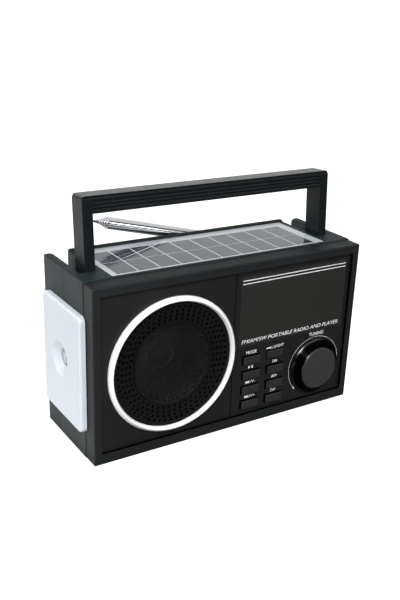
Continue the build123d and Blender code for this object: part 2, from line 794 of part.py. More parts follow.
def dial_pointer():
    """Pointer needle on a carriage that clips over the upper cord run."""
    run = cord_run_z()[1]
    carriage = slab((POINTER_X - 3, POINTER_X + 3), (CORD_Y - 1.0, CORD_Y + 1.2), (run - 1.0, run + 1.6))
    carriage -= rod_x(CORD_R + 0.1, CORD_Y, run, (POINTER_X - 4, POINTER_X + 4))
    needle = slab((POINTER_X - 0.5, POINTER_X + 0.5), (CORD_Y - 0.5, CORD_Y + 0.3), (run + 1.6, 102.0))
    return carriage + needle


def tuning_capacitor():
    """Variable capacitor block with a running hole for the shaft."""
    half = 10.0
    back = MAIN_BOARD_Y
    body = slab((KNOB_X - half, KNOB_X + half), (back - 10, back), (KNOB_Z - half, KNOB_Z + half))
    body = chamfer(body.edges().filter_by(Axis.Y), 1.2)
    nose = tube_y(5.0, SHAFT_R + RUN_GAP, KNOB_X, KNOB_Z, (back - 12, back - 10))
    return body + nose - rod_y(SHAFT_R + RUN_GAP, KNOB_X, KNOB_Z, (back - 12, -9.9))


# ---- buttons --------------------------------------------------------------------------------------------
def push_button(x, z, proud):
    """Button cap with a retaining flange and a stem that faces its switch."""
    half_w = BUTTON_HOLE_W / 2 - BUTTON_CLEAR
    half_h = BUTTON_HOLE_H / 2 - BUTTON_CLEAR
    front = PANEL_FRONT - proud
    flange_y = (PANEL_BACK + 0.2, PANEL_BACK + 1.0)
    flange_w = half_w + BUTTON_CLEAR + 0.5
    flange_h = half_h + BUTTON_CLEAR + 0.5
    stem_end = BUTTON_BOARD_Y - SWITCH_H - PLUNGER_L - 0.7
    cap = slab((x - half_w, x + half_w), (front, flange_y[0]), (z - half_h, z + half_h))
    cap = fillet(cap.faces().sort_by(Axis.Y)[0].edges(), 0.3)
    flange = slab((x - flange_w, x + flange_w), flange_y, (z - flange_h, z + flange_h))
    return cap + flange + rod_y(1.5, x, z, (flange_y[1], stem_end))


def button_board():
    """Circuit board behind the buttons."""
    return slab((4.0, 44.4), (BUTTON_BOARD_Y, BUTTON_BOARD_Y + BOARD_T), (7.0, 53.0))


def tact_switches():
    """Eight push switches, each with its short plunger."""
    half = SWITCH_SIDE / 2
    plunger_r = 1.7
    face = BUTTON_BOARD_Y - SWITCH_H
    switches = []
    for x in BUTTON_COLUMNS:
        for z in BUTTON_ROWS:
            body = slab((x - half, x + half), (face, BUTTON_BOARD_Y), (z - half, z + half))
            switches.append(body + rod_y(plunger_r, x, z, (face - PLUNGER_L, face)))
    return group(switches)


# ---- electronics ------------------------------------------------------------------------------------------
def main_board():
    """Upright main circuit board, notched at the top right for the handle channel."""
    x0, x1, z0, z1 = MAIN_BOARD
    y = (MAIN_BOARD_Y, MAIN_BOARD_Y + BOARD_T)
    notch = slab((MAIN_BOARD_NOTCH[0], x1), y, (MAIN_BOARD_NOTCH[1], z1))
    return slab((x0, x1), y, (z0, z1)) - notch


def board_components():
    """Chips, electrolytics and coil cans soldered to the two faces of the main board."""
    rear = MAIN_BOARD_Y + BOARD_T
    parts = []
    for x, z, side in ((20, 60, 12), (44, 62, 9), (30, 30, 10)):
        parts.append(slab((x - side / 2, x + side / 2), (rear, rear + 1.6), (z - side / 3, z + side / 3)))
    for x, z in ((12, 78), (24, 78), (36, 78), (58, 17), (70, 17)):
        parts.append(rod_y(3.2, x, z, (rear, rear + 8.0)))
    for x, z in ((62, 60), (62, 72), (74, 60), (74, 72)):
        parts.append(slab((x - 3.6, x + 3.6), (rear, rear + 9.0), (z - 3.6, z + 3.6)))
    for x in (12, 18, 24, 30, 36):
        parts.append(rod_x(1.1, rear + 1.1, 46, (x - 2, x + 2)))
    return group(parts)


def media_sockets():
    """Metal shells of the media slots on the right edge of the main board."""
    rear = MAIN_BOARD_Y + BOARD_T
    back_x = 84.0
    cavity_x = 86.0
    usb = slab((back_x, 99.0), (rear + 0.1, rear + 6.3), USB_Z)
    usb -= slab((cavity_x, 99.0), (rear + 0.5, rear + 5.9), (USB_Z[0] + 0.5, USB_Z[1] - 0.5))
    usb += slab((cavity_x, 98.0), (rear + 1.2, rear + 3.0), (USB_Z[0] + 1.5, USB_Z[1] - 1.5))
    card = slab((back_x, 98.6), (rear, rear + 1.9), CARD_Z)
    card -= slab((cavity_x, 98.6), (rear + 0.4, rear + 1.5), (CARD_Z[0] + 0.8, CARD_Z[1] - 0.8))
    return group([usb, card])


def charge_jack():
    """Round charging jack with its centre pin."""
    rear = MAIN_BOARD_Y + BOARD_T
    half = 4.5
    back_x = 85.0
    bore_end = 88.0
    barrel_r = 3.15
    bore_r = 2.75
    pin_r = 1.0
    body = slab((back_x, INNER_X - 0.1), (rear, rear + 9.2), (JACK_Z - half, JACK_Z + half))
    barrel = rod_x(barrel_r, JACK_Y, JACK_Z, (INNER_X - 0.2, HALF_W - 0.3))
    pin = rod_x(pin_r, JACK_Y, JACK_Z, (bore_end, HALF_W - 1.5))
    return body + barrel - rod_x(bore_r, JACK_Y, JACK_Z, (bore_end, HALF_W)) + pin


def ferrite_rod():
    """Ferrite rod for the medium-wave band."""
    return rod_x(FERRITE_R, FERRITE_Y, FERRITE_Z, FERRITE_X)


def ferrite_coil():
    """Wire winding on its paper sleeve round the rod."""
    left, right = (-30.0, 10.0)
    bank_l = 3.0
    sleeve = rod_x(FERRITE_R + 1.2, FERRITE_Y, FERRITE_Z, (left, right))
    for start in (left, right - bank_l):
        sleeve += rod_x(FERRITE_R + 1.8, FERRITE_Y, FERRITE_Z, (start, start + bank_l))
    return sleeve - rod_x(FERRITE_R, FERRITE_Y, FERRITE_Z, FERRITE_X)


def battery_cell():
    """Round lithium cell that lies across the tray."""
    y, z = battery_axis()
    half = CELL_18650_L / 2
    cell = rod_x(CELL_18650_R, y, z, (-half, half - 1.0))
    return fillet(cell.edges(), 0.6) + rod_x(3.2, y, z, (half - 1.2, half))


def battery_axis():
    """Place of the battery cell's axis in the tray."""
    return (TRAY_Y + CELL_18650_R + 1.0, sum(TRAY_Z) / 2)


def battery_contacts():
    """Two sprung contact plates at the ends of the battery tray."""
    y, z = battery_axis()
    half = CELL_18650_L / 2
    contacts = []
    for side in (-1, 1):
        plate_x = sorted((side * TRAY_HALF_W, side * (TRAY_HALF_W - 0.5)))
        nose_x = sorted((side * (TRAY_HALF_W - 0.5), side * half))
        plate = slab(plate_x, (y - 6, y + 6), (z - 8, z + 8))
        contacts.append(plate + rod_x(2.4, y, z, nose_x))
    return group(contacts)


def battery_door():
    """Flush door over the battery tray, with three finger ribs."""
    x = DOOR_HALF_W - DOOR_GAP
    z = (DOOR_Z[0] + DOOR_GAP, DOOR_Z[1] - DOOR_GAP)
    door = slab((-x, x), (REAR_Y - WALL + 0.1, REAR_Y), z)
    rib_pitch = 2.4
    half_rib = 0.5
    rib_x = (-9.0, 9.0)
    for i in range(3):
        rib_z = z[1] - 4.0 - rib_pitch * i
        door += slab(rib_x, (REAR_Y, REAR_Y + 0.6), (rib_z - half_rib, rib_z + half_rib))
    return door


# ---- solar panel ----------------------------------------------------------------------------------------
def solar_backing():
    """White backing board of the solar panel."""
    x = SOLAR_X - SOLAR_GAP
    y = (SOLAR_Y[0] + SOLAR_GAP, SOLAR_Y[1] - SOLAR_GAP)
    low = CASE_H - SOLAR_DEPTH
    return slab((-x, x), y, (low, low + SOLAR_BOARD_T))


def solar_cells():
    """Ten by two grid of thin cells on the backing board."""
    low = CASE_H - SOLAR_DEPTH + SOLAR_BOARD_T
    half_x = CELL_LINE_X / 2
    half_y = CELL_LINE_Y / 2
    cells = []
    for i in range(CELL_COLUMNS):
        for j in range(CELL_ROWS):
            x0 = CELL_ORIGIN[0] + i * CELL_PITCH_X
            y0 = CELL_ORIGIN[1] + j * CELL_PITCH_Y
            x = (x0 + half_x, x0 + CELL_PITCH_X - half_x)
            y = (y0 + half_y, y0 + CELL_PITCH_Y - half_y)
            cells.append(slab(x, y, (low, low + CELL_T)))
    return group(cells)


# ---- side lamp ----------------------------------------------------------------------------------------
def lamp_diffuser():
    """Milky cover on the left wall, hollow behind, with a round dimple down to the spot lens."""
    face = -HALF_W - LAMP_PROUD
    cover = slab((face, -HALF_W), LAMP_Y, LAMP_Z)
    cover = fillet(cover.edges().filter_by(Axis.X), LAMP_CORNER_R)
    cover = fillet(cover.faces().sort_by(Axis.X)[0].edges(), LAMP_EDGE_R)
    inside_y = (LAMP_Y[0] + LAMP_WALL, LAMP_Y[1] - LAMP_WALL)
    inside_z = (LAMP_Z[0] + LAMP_WALL, LAMP_Z[1] - LAMP_WALL)
    inside = slab((face + LAMP_WALL, -HALF_W), inside_y, inside_z)
    inside = fillet(inside.edges().filter_by(Axis.X), LAMP_CORNER_R - LAMP_WALL)
    y, z = LAMP_CENTRE
    dish = dimple(y, z, face - 0.01, LENS_SEAT_X, LAMP_DIMPLE_R, LENS_R)
    skin = dimple(y, z, face, -HALF_W, LAMP_DIMPLE_R + LAMP_WALL, LENS_R + LAMP_WALL)
    return cover - inside + (skin & cover) - dish - rod_x(LENS_R, y, z, (face, -HALF_W + 1))


def dimple(y, z, x0, x1, r0, r1):
    """Cone along X whose radius goes from r0 at x0 to r1 at x1."""
    return Pos((x0 + x1) / 2, y, z) * Rot(0, 90, 0) * Cone(r0, r1, x1 - x0)


def spot_lens():
    """Plano-convex lens in the middle of the dimple."""
    y, z = LAMP_CENTRE
    bulge_r = LENS_R - 0.4
    rise = 1.1
    ball_r = (bulge_r**2 + rise**2) / (2 * rise)
    rim = rod_x(LENS_R, y, z, (LENS_SEAT_X, -HALF_W + 0.2))
    bulge = Pos(LENS_SEAT_X - rise + ball_r, y, z) * Sphere(ball_r)
    bulge &= rod_x(bulge_r, y, z, (LENS_SEAT_X - 2 * rise, LENS_SEAT_X))
    return rim + bulge


def lamp_board():
    """Circuit board for the lamp, against the inside of the left wall."""
    y, z = LAMP_CENTRE
    half_y = 23.0
    half_z = 33.0
    return slab((-INNER_X, -INNER_X + BOARD_T), (y - half_y, y + half_y), (z - half_z, z + half_z))


def lamp_leds():
    """Rows of small white chips round one large spot chip."""
    y0, z0 = LAMP_CENTRE
    top = (-INNER_X - 0.8, -INNER_X)
    chips = [rod_x(2.5, y0, z0, (-INNER_X - 1.6, -INNER_X))]
    for row in range(6):
        z = z0 - 25.0 + row * 10.0
        for y in (y0 - 13.0, y0 + 13.0):
            chips.append(slab(top, (y - 1.4, y + 1.4), (z - 1.75, z + 1.75)))
    return group(chips)


# ---- handle ---------------------------------------------------------------------------------------------
def leaning(part):
    """Places a part drawn upright round the handle's pivot onto the raised handle."""
    return Pos(0, *HANDLE_PIVOT) * Rot(-HANDLE_LEAN, 0, 0) * part


def handle():
    """Square-section carrying handle with ribbed grip faces and rounded pivot ends."""
    half_d = HANDLE_DEPTH / 2
    grip_z = HANDLE_REACH - GRIP_H
    corner_r = 2.2
    top_r = 0.3
    outer = slab((-LEG_X[1], LEG_X[1]), (-half_d, half_d), (0, HANDLE_REACH))
    corners = edges_along_y(outer, LEG_X[1], HANDLE_REACH) + edges_along_y(outer, -LEG_X[1], HANDLE_REACH)
    outer = fillet(corners, corner_r)
    bow = outer - slab((-LEG_X[0], LEG_X[0]), (-half_d, half_d), (0, grip_z))
    top = bow.edges().group_by(Axis.Z)[-1].filter_by(Axis.X)
    bow = fillet(top, top_r)
    for side in (-1, 1):
        bow += rod_x(half_d, 0, 0, sorted(side * v for v in LEG_X))
    bow -= rod_x(PIN_R + RUN_GAP, 0, 0, (-HALF_W, HALF_W))
    return leaning(bow - grip_grooves(half_d))


def grip_grooves(half_d):
    """Flared grooves in the front and rear face of the grip; the top one runs out at both ends."""
    depth = 0.8
    half_floor = 0.25
    half_mouth = 0.85
    pitch = 2.15
    short = LEG_X[0] - 1.0
    rows = [(HANDLE_REACH - 1.2, HALF_W)]
    rows += [(HANDLE_REACH - 3.9 - pitch * i, short) for i in range(3)]
    grooves = Part()
    for z, reach in rows:
        for side in (-1, 1):
            face = side * half_d
            floor = face - side * depth
            mouth = [(face + side, z - half_mouth), (face, z - half_mouth), (floor, z - half_floor)]
            mirrored = [(y, 2 * z - level) for y, level in reversed(mouth)]
            grooves += prism_x(mouth + mirrored, (-reach, reach))
    return grooves


def handle_pins():
    """Two steel pins that the handle legs turn on."""
    return group([rod_x(PIN_R, *HANDLE_PIVOT, x) for x in pin_spans()])


# ---- aerial ---------------------------------------------------------------------------------------------
def on_aerial(part):
    """Places a part drawn along +X from the pivot onto the leaning aerial, which points to the left."""
    return Pos(AERIAL_X, AERIAL_Y, AERIAL_Z) * Rot(0, 180 + AERIAL_ANGLE, 0) * part


def bracket_face():
    """Rear face of the friction plate."""
    return REAR_Y + 0.7


def aerial_bracket():
    """Friction plate against the rear wall, with a short post in the wall."""
    plate_r = 6.2
    gap = 0.1
    post = rod_y(AERIAL_POST_R, AERIAL_X, AERIAL_Z, (REAR_Y - 1.9, REAR_Y + gap))
    plate = rod_y(plate_r, AERIAL_X, AERIAL_Z, (REAR_Y + gap, bracket_face()))
    return post + plate


def aerial_knuckle():
    """Swivel fork with its rivet; it turns on the friction plate."""
    ear_half = LUG_HALF_T + 0.1
    ear_t = 1.4
    ear_r = 3.4
    base_y = bracket_face() + RUN_GAP - AERIAL_Y
    floor_y = -LUG_R - 0.15
    disc = rod_y(5.4, 0, 0, (base_y, floor_y))
    ears = rod_z_pair(ear_r, ear_half, ear_half + ear_t)
    ears += slab((-ear_r, ear_r), (base_y, 0), (-ear_half - ear_t, ear_half + ear_t))
    ears -= slab((-9, 9), (floor_y, 9), (-ear_half, ear_half))
    rivet = Cylinder(1.0, 2 * (ear_half + ear_t) + 0.8)
    return on_aerial(disc + ears + rivet)


def rod_z_pair(radius, z0, z1):
    """Two discs on a Z axis, one on each side of the middle."""
    disc = Cylinder(radius, z1 - z0)
    return Pos(0, 0, (z0 + z1) / 2) * disc + Pos(0, 0, -(z0 + z1) / 2) * disc


def aerial_tube(index):
    """One telescopic section; section 0 is the outermost, with the lug that sits in the fork."""
    radius = TUBE_RADII[index]
    bore = TUBE_RADII[index + 1] + TUBE_WALL_GAP
    start = TUBE_START + TUBE_INSET * index
    end = TUBE_END + TUBE_STEP * index
    tube = rod_x(radius, 0, 0, (start, end))
    rolled = tube.edges().sort_by(Axis.X)[-1]
    tube = chamfer(rolled, (radius - bore) * 0.6)
    tube -= rod_x(bore, 0, 0, (start + TUBE_INSET, end + 1))
    if index == 0:
        tube += aerial_lug(start + 1.0)
    return on_aerial(tube)


def aerial_lug(reach):
    """Flat lug of the outer tube, bored for the rivet."""
    lug = Cylinder(LUG_R, 2 * LUG_HALF_T)
    lug += slab((0, reach), (-LUG_R, LUG_R), (-LUG_HALF_T, LUG_HALF_T))
    return lug - Cylinder(1.0 + RUN_GAP, 3 * LUG_HALF_T)


def aerial_tip():
    """Innermost rod with its pointed end."""
    radius = TUBE_RADII[-1]
    point_l = 4.8
    sections = len(TUBE_RADII) - 1
    start = TUBE_START + TUBE_INSET * sections
    shoulder = TUBE_END + TUBE_STEP * (sections - 1) + 1.0
    rod = rod_x(radius, 0, 0, (start, shoulder))
    point = Pos(shoulder + point_l / 2, 0, 0) * Rot(0, 90, 0) * Cone(radius + 0.25, 0.5, point_l)
    return on_aerial(rod + point)


# ---- all pieces -------------------------------------------------------------------------------------------
def build_all():
    """Every node by name."""
    nodes = {
        "front_cabinet": front_cabinet(),
        "rear_cabinet": rear_cabinet(),
        "case_screws": case_screws(),
        "speaker_panel": speaker_panel(),
        "control_panel": control_panel(),
        "display_window": display_window(),
        "speaker_ring": speaker_ring(),
        "speaker_grille": speaker_grille(),
        "grille_dome": grille_dome(),
        "speaker_basket": speaker_basket(),
        "speaker_surround": speaker_surround(),
        "speaker_cone": speaker_cone(),
        "speaker_dust_cap": speaker_dust_cap(),
        "voice_coil": voice_coil(),
        "speaker_spider": speaker_spider(),
        "speaker_magnet": speaker_magnet(),
        "magnet_plates": magnet_plates(),
        "tuning_knob": tuning_knob(),
        "tuning_shaft": tuning_shaft(),
        "dial_drum": dial_drum(),
        "cord_idler_left": idler(IDLER_X[0]),
        "cord_idler_right": idler(IDLER_X[1]),
        "dial_cord": dial_cord(),
        "dial_plate": dial_plate(),
        "dial_pointer": dial_pointer(),
        "tuning_capacitor": tuning_capacitor(),
        "button_board": button_board(),
        "tact_switches": tact_switches(),
        "main_board": main_board(),
        "board_components": board_components(),
        "media_sockets": media_sockets(),
        "charge_jack": charge_jack(),
        "ferrite_rod": ferrite_rod(),
        "ferrite_coil": ferrite_coil(),
        "battery_cell": battery_cell(),
        "battery_contacts": battery_contacts(),
        "battery_door": battery_door(),
        "solar_backing": solar_backing(),
        "solar_cells": solar_cells(),
        "lamp_diffuser": lamp_diffuser(),
        "spot_lens": spot_lens(),
        "lamp_board": lamp_board(),
        "lamp_leds": lamp_leds(),
        "handle": handle(),
        "handle_pins": handle_pins(),
        "aerial_bracket": aerial_bracket(),
        "aerial_knuckle": aerial_knuckle(),
        "aerial_tip": aerial_tip(),
    }
    for index in range(len(TUBE_RADII) - 1):
        nodes[f"aerial_tube_{index + 1}"] = aerial_tube(index)
    for row, names in enumerate(BUTTON_NAMES):
        for x, name in zip(BUTTON_COLUMNS, names):
            proud = LIGHT_PROUD if name == "button_light" else BUTTON_PROUD
            nodes[name] = push_button(x, BUTTON_ROWS[row], proud)
    return nodes


os.makedirs("parts", exist_ok=True)
for node_name, piece in build_all().items():
    export_step(piece, f"parts/{node_name}.step")
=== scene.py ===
from math import cos, pi, radians, sin, sqrt

import bmesh
import bpy
from mathutils import Euler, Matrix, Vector


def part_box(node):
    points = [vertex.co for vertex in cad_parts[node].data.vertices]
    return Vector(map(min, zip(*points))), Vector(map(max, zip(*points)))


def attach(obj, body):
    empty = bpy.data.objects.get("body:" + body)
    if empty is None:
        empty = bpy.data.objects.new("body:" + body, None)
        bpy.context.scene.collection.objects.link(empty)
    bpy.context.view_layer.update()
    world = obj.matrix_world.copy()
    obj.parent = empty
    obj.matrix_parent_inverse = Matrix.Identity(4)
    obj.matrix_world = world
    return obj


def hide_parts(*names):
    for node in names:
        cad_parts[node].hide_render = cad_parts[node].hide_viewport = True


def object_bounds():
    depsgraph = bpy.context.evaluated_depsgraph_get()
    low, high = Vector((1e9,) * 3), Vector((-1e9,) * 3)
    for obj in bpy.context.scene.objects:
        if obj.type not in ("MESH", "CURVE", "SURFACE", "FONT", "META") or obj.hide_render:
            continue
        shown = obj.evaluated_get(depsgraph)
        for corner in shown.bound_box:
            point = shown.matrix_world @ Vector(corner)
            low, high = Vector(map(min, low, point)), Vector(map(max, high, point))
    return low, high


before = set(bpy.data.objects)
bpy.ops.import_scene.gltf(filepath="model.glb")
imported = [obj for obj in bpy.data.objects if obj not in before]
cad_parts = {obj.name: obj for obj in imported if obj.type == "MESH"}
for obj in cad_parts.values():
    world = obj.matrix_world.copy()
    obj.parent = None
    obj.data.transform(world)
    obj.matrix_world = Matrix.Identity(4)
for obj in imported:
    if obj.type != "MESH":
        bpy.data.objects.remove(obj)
CAD_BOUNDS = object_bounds()

# Lengths are in metres, in the part's own frame: the origin is the centre of the underside,
# +X runs to the listener's right, +Y from the front to the rear and +Z up.
MM = 0.001


# ---- shader building ------------------------------------------------------------------------------
class Shader:
    """A node material built round one Principled shader."""

    def __init__(self, name):
        self.material = bpy.data.materials.new("look_" + name)
        self.material.use_nodes = True
        self.tree = self.material.node_tree
        self.tree.nodes.clear()
        self.output = self.node("ShaderNodeOutputMaterial")
        self.bsdf = self.node("ShaderNodeBsdfPrincipled")
        self.tree.links.new(self.bsdf.outputs[0], self.output.inputs["Surface"])
        self.place = self.node("ShaderNodeTexCoord").outputs["Object"]

    def node(self, kind, inputs=None, **settings):
        """New node with its settings and its inputs, which are values or other nodes' sockets."""
        made = self.tree.nodes.new(kind)
        for key, value in settings.items():
            setattr(made, key, value)
        for key, value in (inputs or {}).items():
            self.feed(made.inputs[key], value)
        return made

    def feed(self, socket, value):
        """Links a socket to an input, or sets the input to a value."""
        if isinstance(value, bpy.types.NodeSocket):
            self.tree.links.new(value, socket)
        elif hasattr(value, "__len__") and len(value) == 3 and socket.type == "RGBA":
            socket.default_value = (*value, 1.0)
        else:
            socket.default_value = value

    def set(self, **values):
        """Feeds the Principled shader; underscores in a name stand for spaces."""
        for key, value in values.items():
            self.feed(self.bsdf.inputs[key.replace("_", " ")], value)
        return self

    def math(self, operation, a, b=0.0, c=0.0):
        """Output of a maths node."""
        made = self.node("ShaderNodeMath", {0: a, 1: b, 2: c}, operation=operation)
        return made.outputs[0]

    def mix(self, factor, a, b):
        """Colour a where factor is 0, and b where it is 1."""
        made = self.node("ShaderNodeMix", {0: factor, 6: a, 7: b}, data_type="RGBA")
        return made.outputs[2]

    def span(self, value, low, high, to_low=0.0, to_high=1.0):
        """Maps the range low..high to to_low..to_high, clamped."""
        inputs = {0: value, 1: low, 2: high, 3: to_low, 4: to_high}
        return self.node("ShaderNodeMapRange", inputs).outputs[0]

    def stretched(self, factors):
        """Place on the object, scaled axis by axis."""
        inputs = {"Vector": self.place, "Scale": factors}
        return self.node("ShaderNodeMapping", inputs).outputs[0]

    def noise(self, scale, detail=3.0, roughness=0.55, stretch=None):
        """Cloudy noise from 0 to 1."""
        where = self.stretched(stretch) if stretch else self.place
        inputs = {"Vector": where, "Scale": scale, "Detail": detail, "Roughness": roughness}
        return self.node("ShaderNodeTexNoise", inputs).outputs[0]

    def cells(self, scale):
        """Distance from the nearest of a scatter of points."""
        made = self.node("ShaderNodeTexVoronoi", {"Vector": self.place, "Scale": scale})
        return made.outputs["Distance"]

    def axis(self, index):
        """Place along X, Y or Z for index 0, 1 or 2."""
        return self.node("ShaderNodeSeparateXYZ", {0: self.place}).outputs[index]

    def radius(self, centre):
        """Distance from the line through centre along Y."""
        dx = self.math("SUBTRACT", self.axis(0), centre.x)
        dz = self.math("SUBTRACT", self.axis(2), centre.z)
        square = self.math("MULTIPLY_ADD", dx, dx, self.math("MULTIPLY", dz, dz))
        return self.math("SQRT", square)

    def stripes(self, value, pitch, width):
        """1 on lines of a width, one every pitch along a coordinate, else 0."""
        phase = self.math("FRACT", self.math("DIVIDE", value, pitch))
        off = self.math("ABSOLUTE", self.math("SUBTRACT", phase, 0.5))
        return self.math("LESS_THAN", off, width / pitch / 2)

    def rounded(self, radius):
        """Normal that rounds every edge by a radius."""
        return self.node("ShaderNodeBevel", {"Radius": radius}, samples=4).outputs[0]

    def edges(self, radius):
        """0 on flat faces, rising to 1 along the edges."""
        soft = self.rounded(radius)
        hard = self.node("ShaderNodeNewGeometry").outputs["Normal"]
        dot = self.node("ShaderNodeVectorMath", {0: soft, 1: hard}, operation="DOT_PRODUCT")
        return self.span(dot.outputs["Value"], 0.99, 0.75)

    def inside(self, index, low, high):
        """1 where a coordinate lies between low and high, else 0."""
        value = self.axis(index)
        above_low = self.math("GREATER_THAN", value, low)
        return self.math("MULTIPLY", above_low, self.math("LESS_THAN", value, high))

    def bump(self, height, strength, distance, normal=None):
        """Raises the surface by a height pattern, on top of a rounded normal if there is one."""
        inputs = {"Height": height, "Strength": strength, "Distance": distance}
        if normal:
            inputs["Normal"] = normal
        self.set(Normal=self.node("ShaderNodeBump", inputs).outputs[0])
        return self


def lighter(colour, factor):
    """Colour times a factor, no brighter than white."""
    return tuple(min(1.0, c * factor) for c in colour)


def moulded(
    name, colour, rough=0.45, grain=0.25, edge_highlight_and_polish=0.5, edge=0.35 * MM, specular=0.5, shade=None, painted_top_sheen=1.0
):
    """Moulded plastic: spark-eroded grain, faint flow marks, handling sheen, and smoother edges with a
    painted highlight.

    The function shade gives a factor that is 1 in recesses, where painted shade darkens the colour
    and the specular level. Faces that look up have their specular level multiplied by
    painted_top_sheen, a painted sheen where it is above 1 and a painted dullness below 1.
    """
    s = Shader(name)
    flow = s.noise(22.0, 4.0, 0.6)
    fine = s.noise(1900.0, 2.0)
    rub = s.noise(70.0, 5.0, 0.7, stretch=(1.0, 1.0, 0.35))
    # Painted highlight: the base colour is lighter along the edges, which are also made smoother.
    edge_highlight_mask = s.edges(edge * 1.6)
    base = s.mix(s.span(flow, 0.35, 0.65), lighter(colour, 0.88), lighter(colour, 1.12))
    base = s.mix(s.math("MULTIPLY", edge_highlight_mask, edge_highlight_and_polish), base, lighter(colour, 1.9))
    matt = s.span(rub, 0.3, 0.7, rough - 0.05, rough + 0.06)
    matt = s.math("MULTIPLY_ADD", edge_highlight_mask, -0.10 * edge_highlight_and_polish, matt)
    normal = s.node("ShaderNodeNewGeometry").outputs["Normal"]
    facing = s.node("ShaderNodeSeparateXYZ", {0: normal})
    # Painted sheen: the specular level changes with how far a face looks up.
    specular = s.span(facing.outputs[2], 0.5, 0.9, specular, specular * painted_top_sheen)
    if shade:
        # Painted shade: colour and specular level darkened where the shade factor is 1.
        dark = shade(s)
        left = 0.1
        base = s.mix(dark, base, lighter(colour, left))
        specular = s.math("MULTIPLY", specular, s.span(dark, 0.0, 1.0, 1.0, left))
    s.set(Base_Color=base, Roughness=matt, Specular_IOR_Level=specular)
    height = s.math("MULTIPLY_ADD", fine, 1.0, s.math("MULTIPLY", rub, 0.4))
    return s.bump(height, grain, 0.05 * MM, s.rounded(edge)).material


def metal(name, colour, rough=0.2, lines=(1.0, 1.0, 1.0), smudge=0.08, strength=0.1):
    """Metal with drawing lines along one axis, finger smudges and edges brightened by a painted highlight.
    """
    s = Shader(name)
    streak = s.noise(900.0, 3.0, 0.6, stretch=lines)
    smear = s.noise(55.0, 5.0, 0.65)
    edge_highlight_mask = s.edges(0.3 * MM)
    base = s.mix(s.span(smear, 0.3, 0.7), lighter(colour, 0.86), colour)
    # Painted highlight: a lighter colour along the edges.
    base = s.mix(s.math("MULTIPLY", edge_highlight_mask, 0.4), base, lighter(colour, 1.25))
    matt = s.span(smear, 0.35, 0.75, rough, rough + smudge)
    matt = s.math("MULTIPLY_ADD", streak, 0.05, matt)
    s.set(Base_Color=base, Metallic=1.0, Roughness=matt)
    return s.bump(streak, strength, 0.02 * MM, s.rounded(0.12 * MM)).material


def gloss_white(name, colour):
    """Glossy white trim with soft orange peel."""
    s = Shader(name)
    peel = s.noise(260.0, 2.0)
    tint = s.noise(30.0, 3.0)
    base = s.mix(tint, lighter(colour, 0.95), colour)
    s.set(Base_Color=base, Roughness=s.span(tint, 0.3, 0.7, 0.20, 0.28))
    s.set(Coat_Weight=0.5, Coat_Roughness=0.06)
    return s.bump(peel, 0.12, 0.05 * MM, s.rounded(0.25 * MM)).material


def knob_gloss():
    """Black knob: a satin face with fine turning marks, a dark cone and rounded rims; the shine set by
    radius paints highlights on the rims and paints out the cone's.
    """
    s = Shader("knob_gloss")
    lo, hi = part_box("tuning_knob")
    radius = s.radius((lo + hi) / 2)
    face = s.span(s.axis(1), lo.y + 0.35 * MM, lo.y + 0.15 * MM)
    dust = s.noise(120.0, 5.0, 0.7)
    rough = s.math("MULTIPLY_ADD", face, 0.30, s.span(dust, 0.3, 0.8, 0.14, 0.20))
    base = s.mix(face, (0.0008, 0.0008, 0.0009), (0.030, 0.031, 0.032))
    base = s.mix(s.span(dust, 0.6, 0.85, 0.0, 0.12), base, (0.03, 0.031, 0.032))
    # Painted highlight and shade: the specular level is high on the two rounded rims and near zero on the
    # cone.
    outer_rim = s.span(radius, 19.2 * MM, 19.6 * MM)
    inner_rim = s.span(radius, 15.4 * MM, 15.0 * MM)
    cone_shine, rim_shine, face_shine = 0.012, 0.7, 0.45
    shine = s.span(s.math("ADD", outer_rim, inner_rim), 0, 1, cone_shine, rim_shine)
    shine = s.math("MAXIMUM", shine, s.math("MULTIPLY", face, face_shine))
    shine = s.math("MINIMUM", shine, s.span(face, 0, 1, rim_shine, face_shine))
    s.set(Base_Color=base, Roughness=rough, Specular_IOR_Level=shine)
    ring_frequency = 14000.0
    rings = s.math("SINE", s.math("MULTIPLY", radius, ring_frequency))
    height = s.math("ADD", s.math("MULTIPLY", rings, face), s.noise(1500.0))
    return s.bump(height, 0.10, 0.02 * MM).material


def smoked_window():
    """Smoked acrylic: dark, glossy, with soft waviness and hairline scratches."""
    s = Shader("smoked_window")
    haze = s.noise(16.0, 3.0)
    scratch = s.noise(600.0, 2.0, 0.5, stretch=(0.04, 1.0, 1.0))
    base = s.mix(haze, (0.0170, 0.0176, 0.0154), (0.0235, 0.0243, 0.0216))
    rough = s.span(scratch, 0.62, 0.72, 0.17, 0.30)
    s.set(Base_Color=base, Roughness=rough, Specular_IOR_Level=0.5)
    s.set(Coat_Weight=0.3, Coat_Roughness=0.15)
    return s.bump(s.noise(60.0, 2.0), 0.05, 0.1 * MM, s.rounded(0.15 * MM)).material


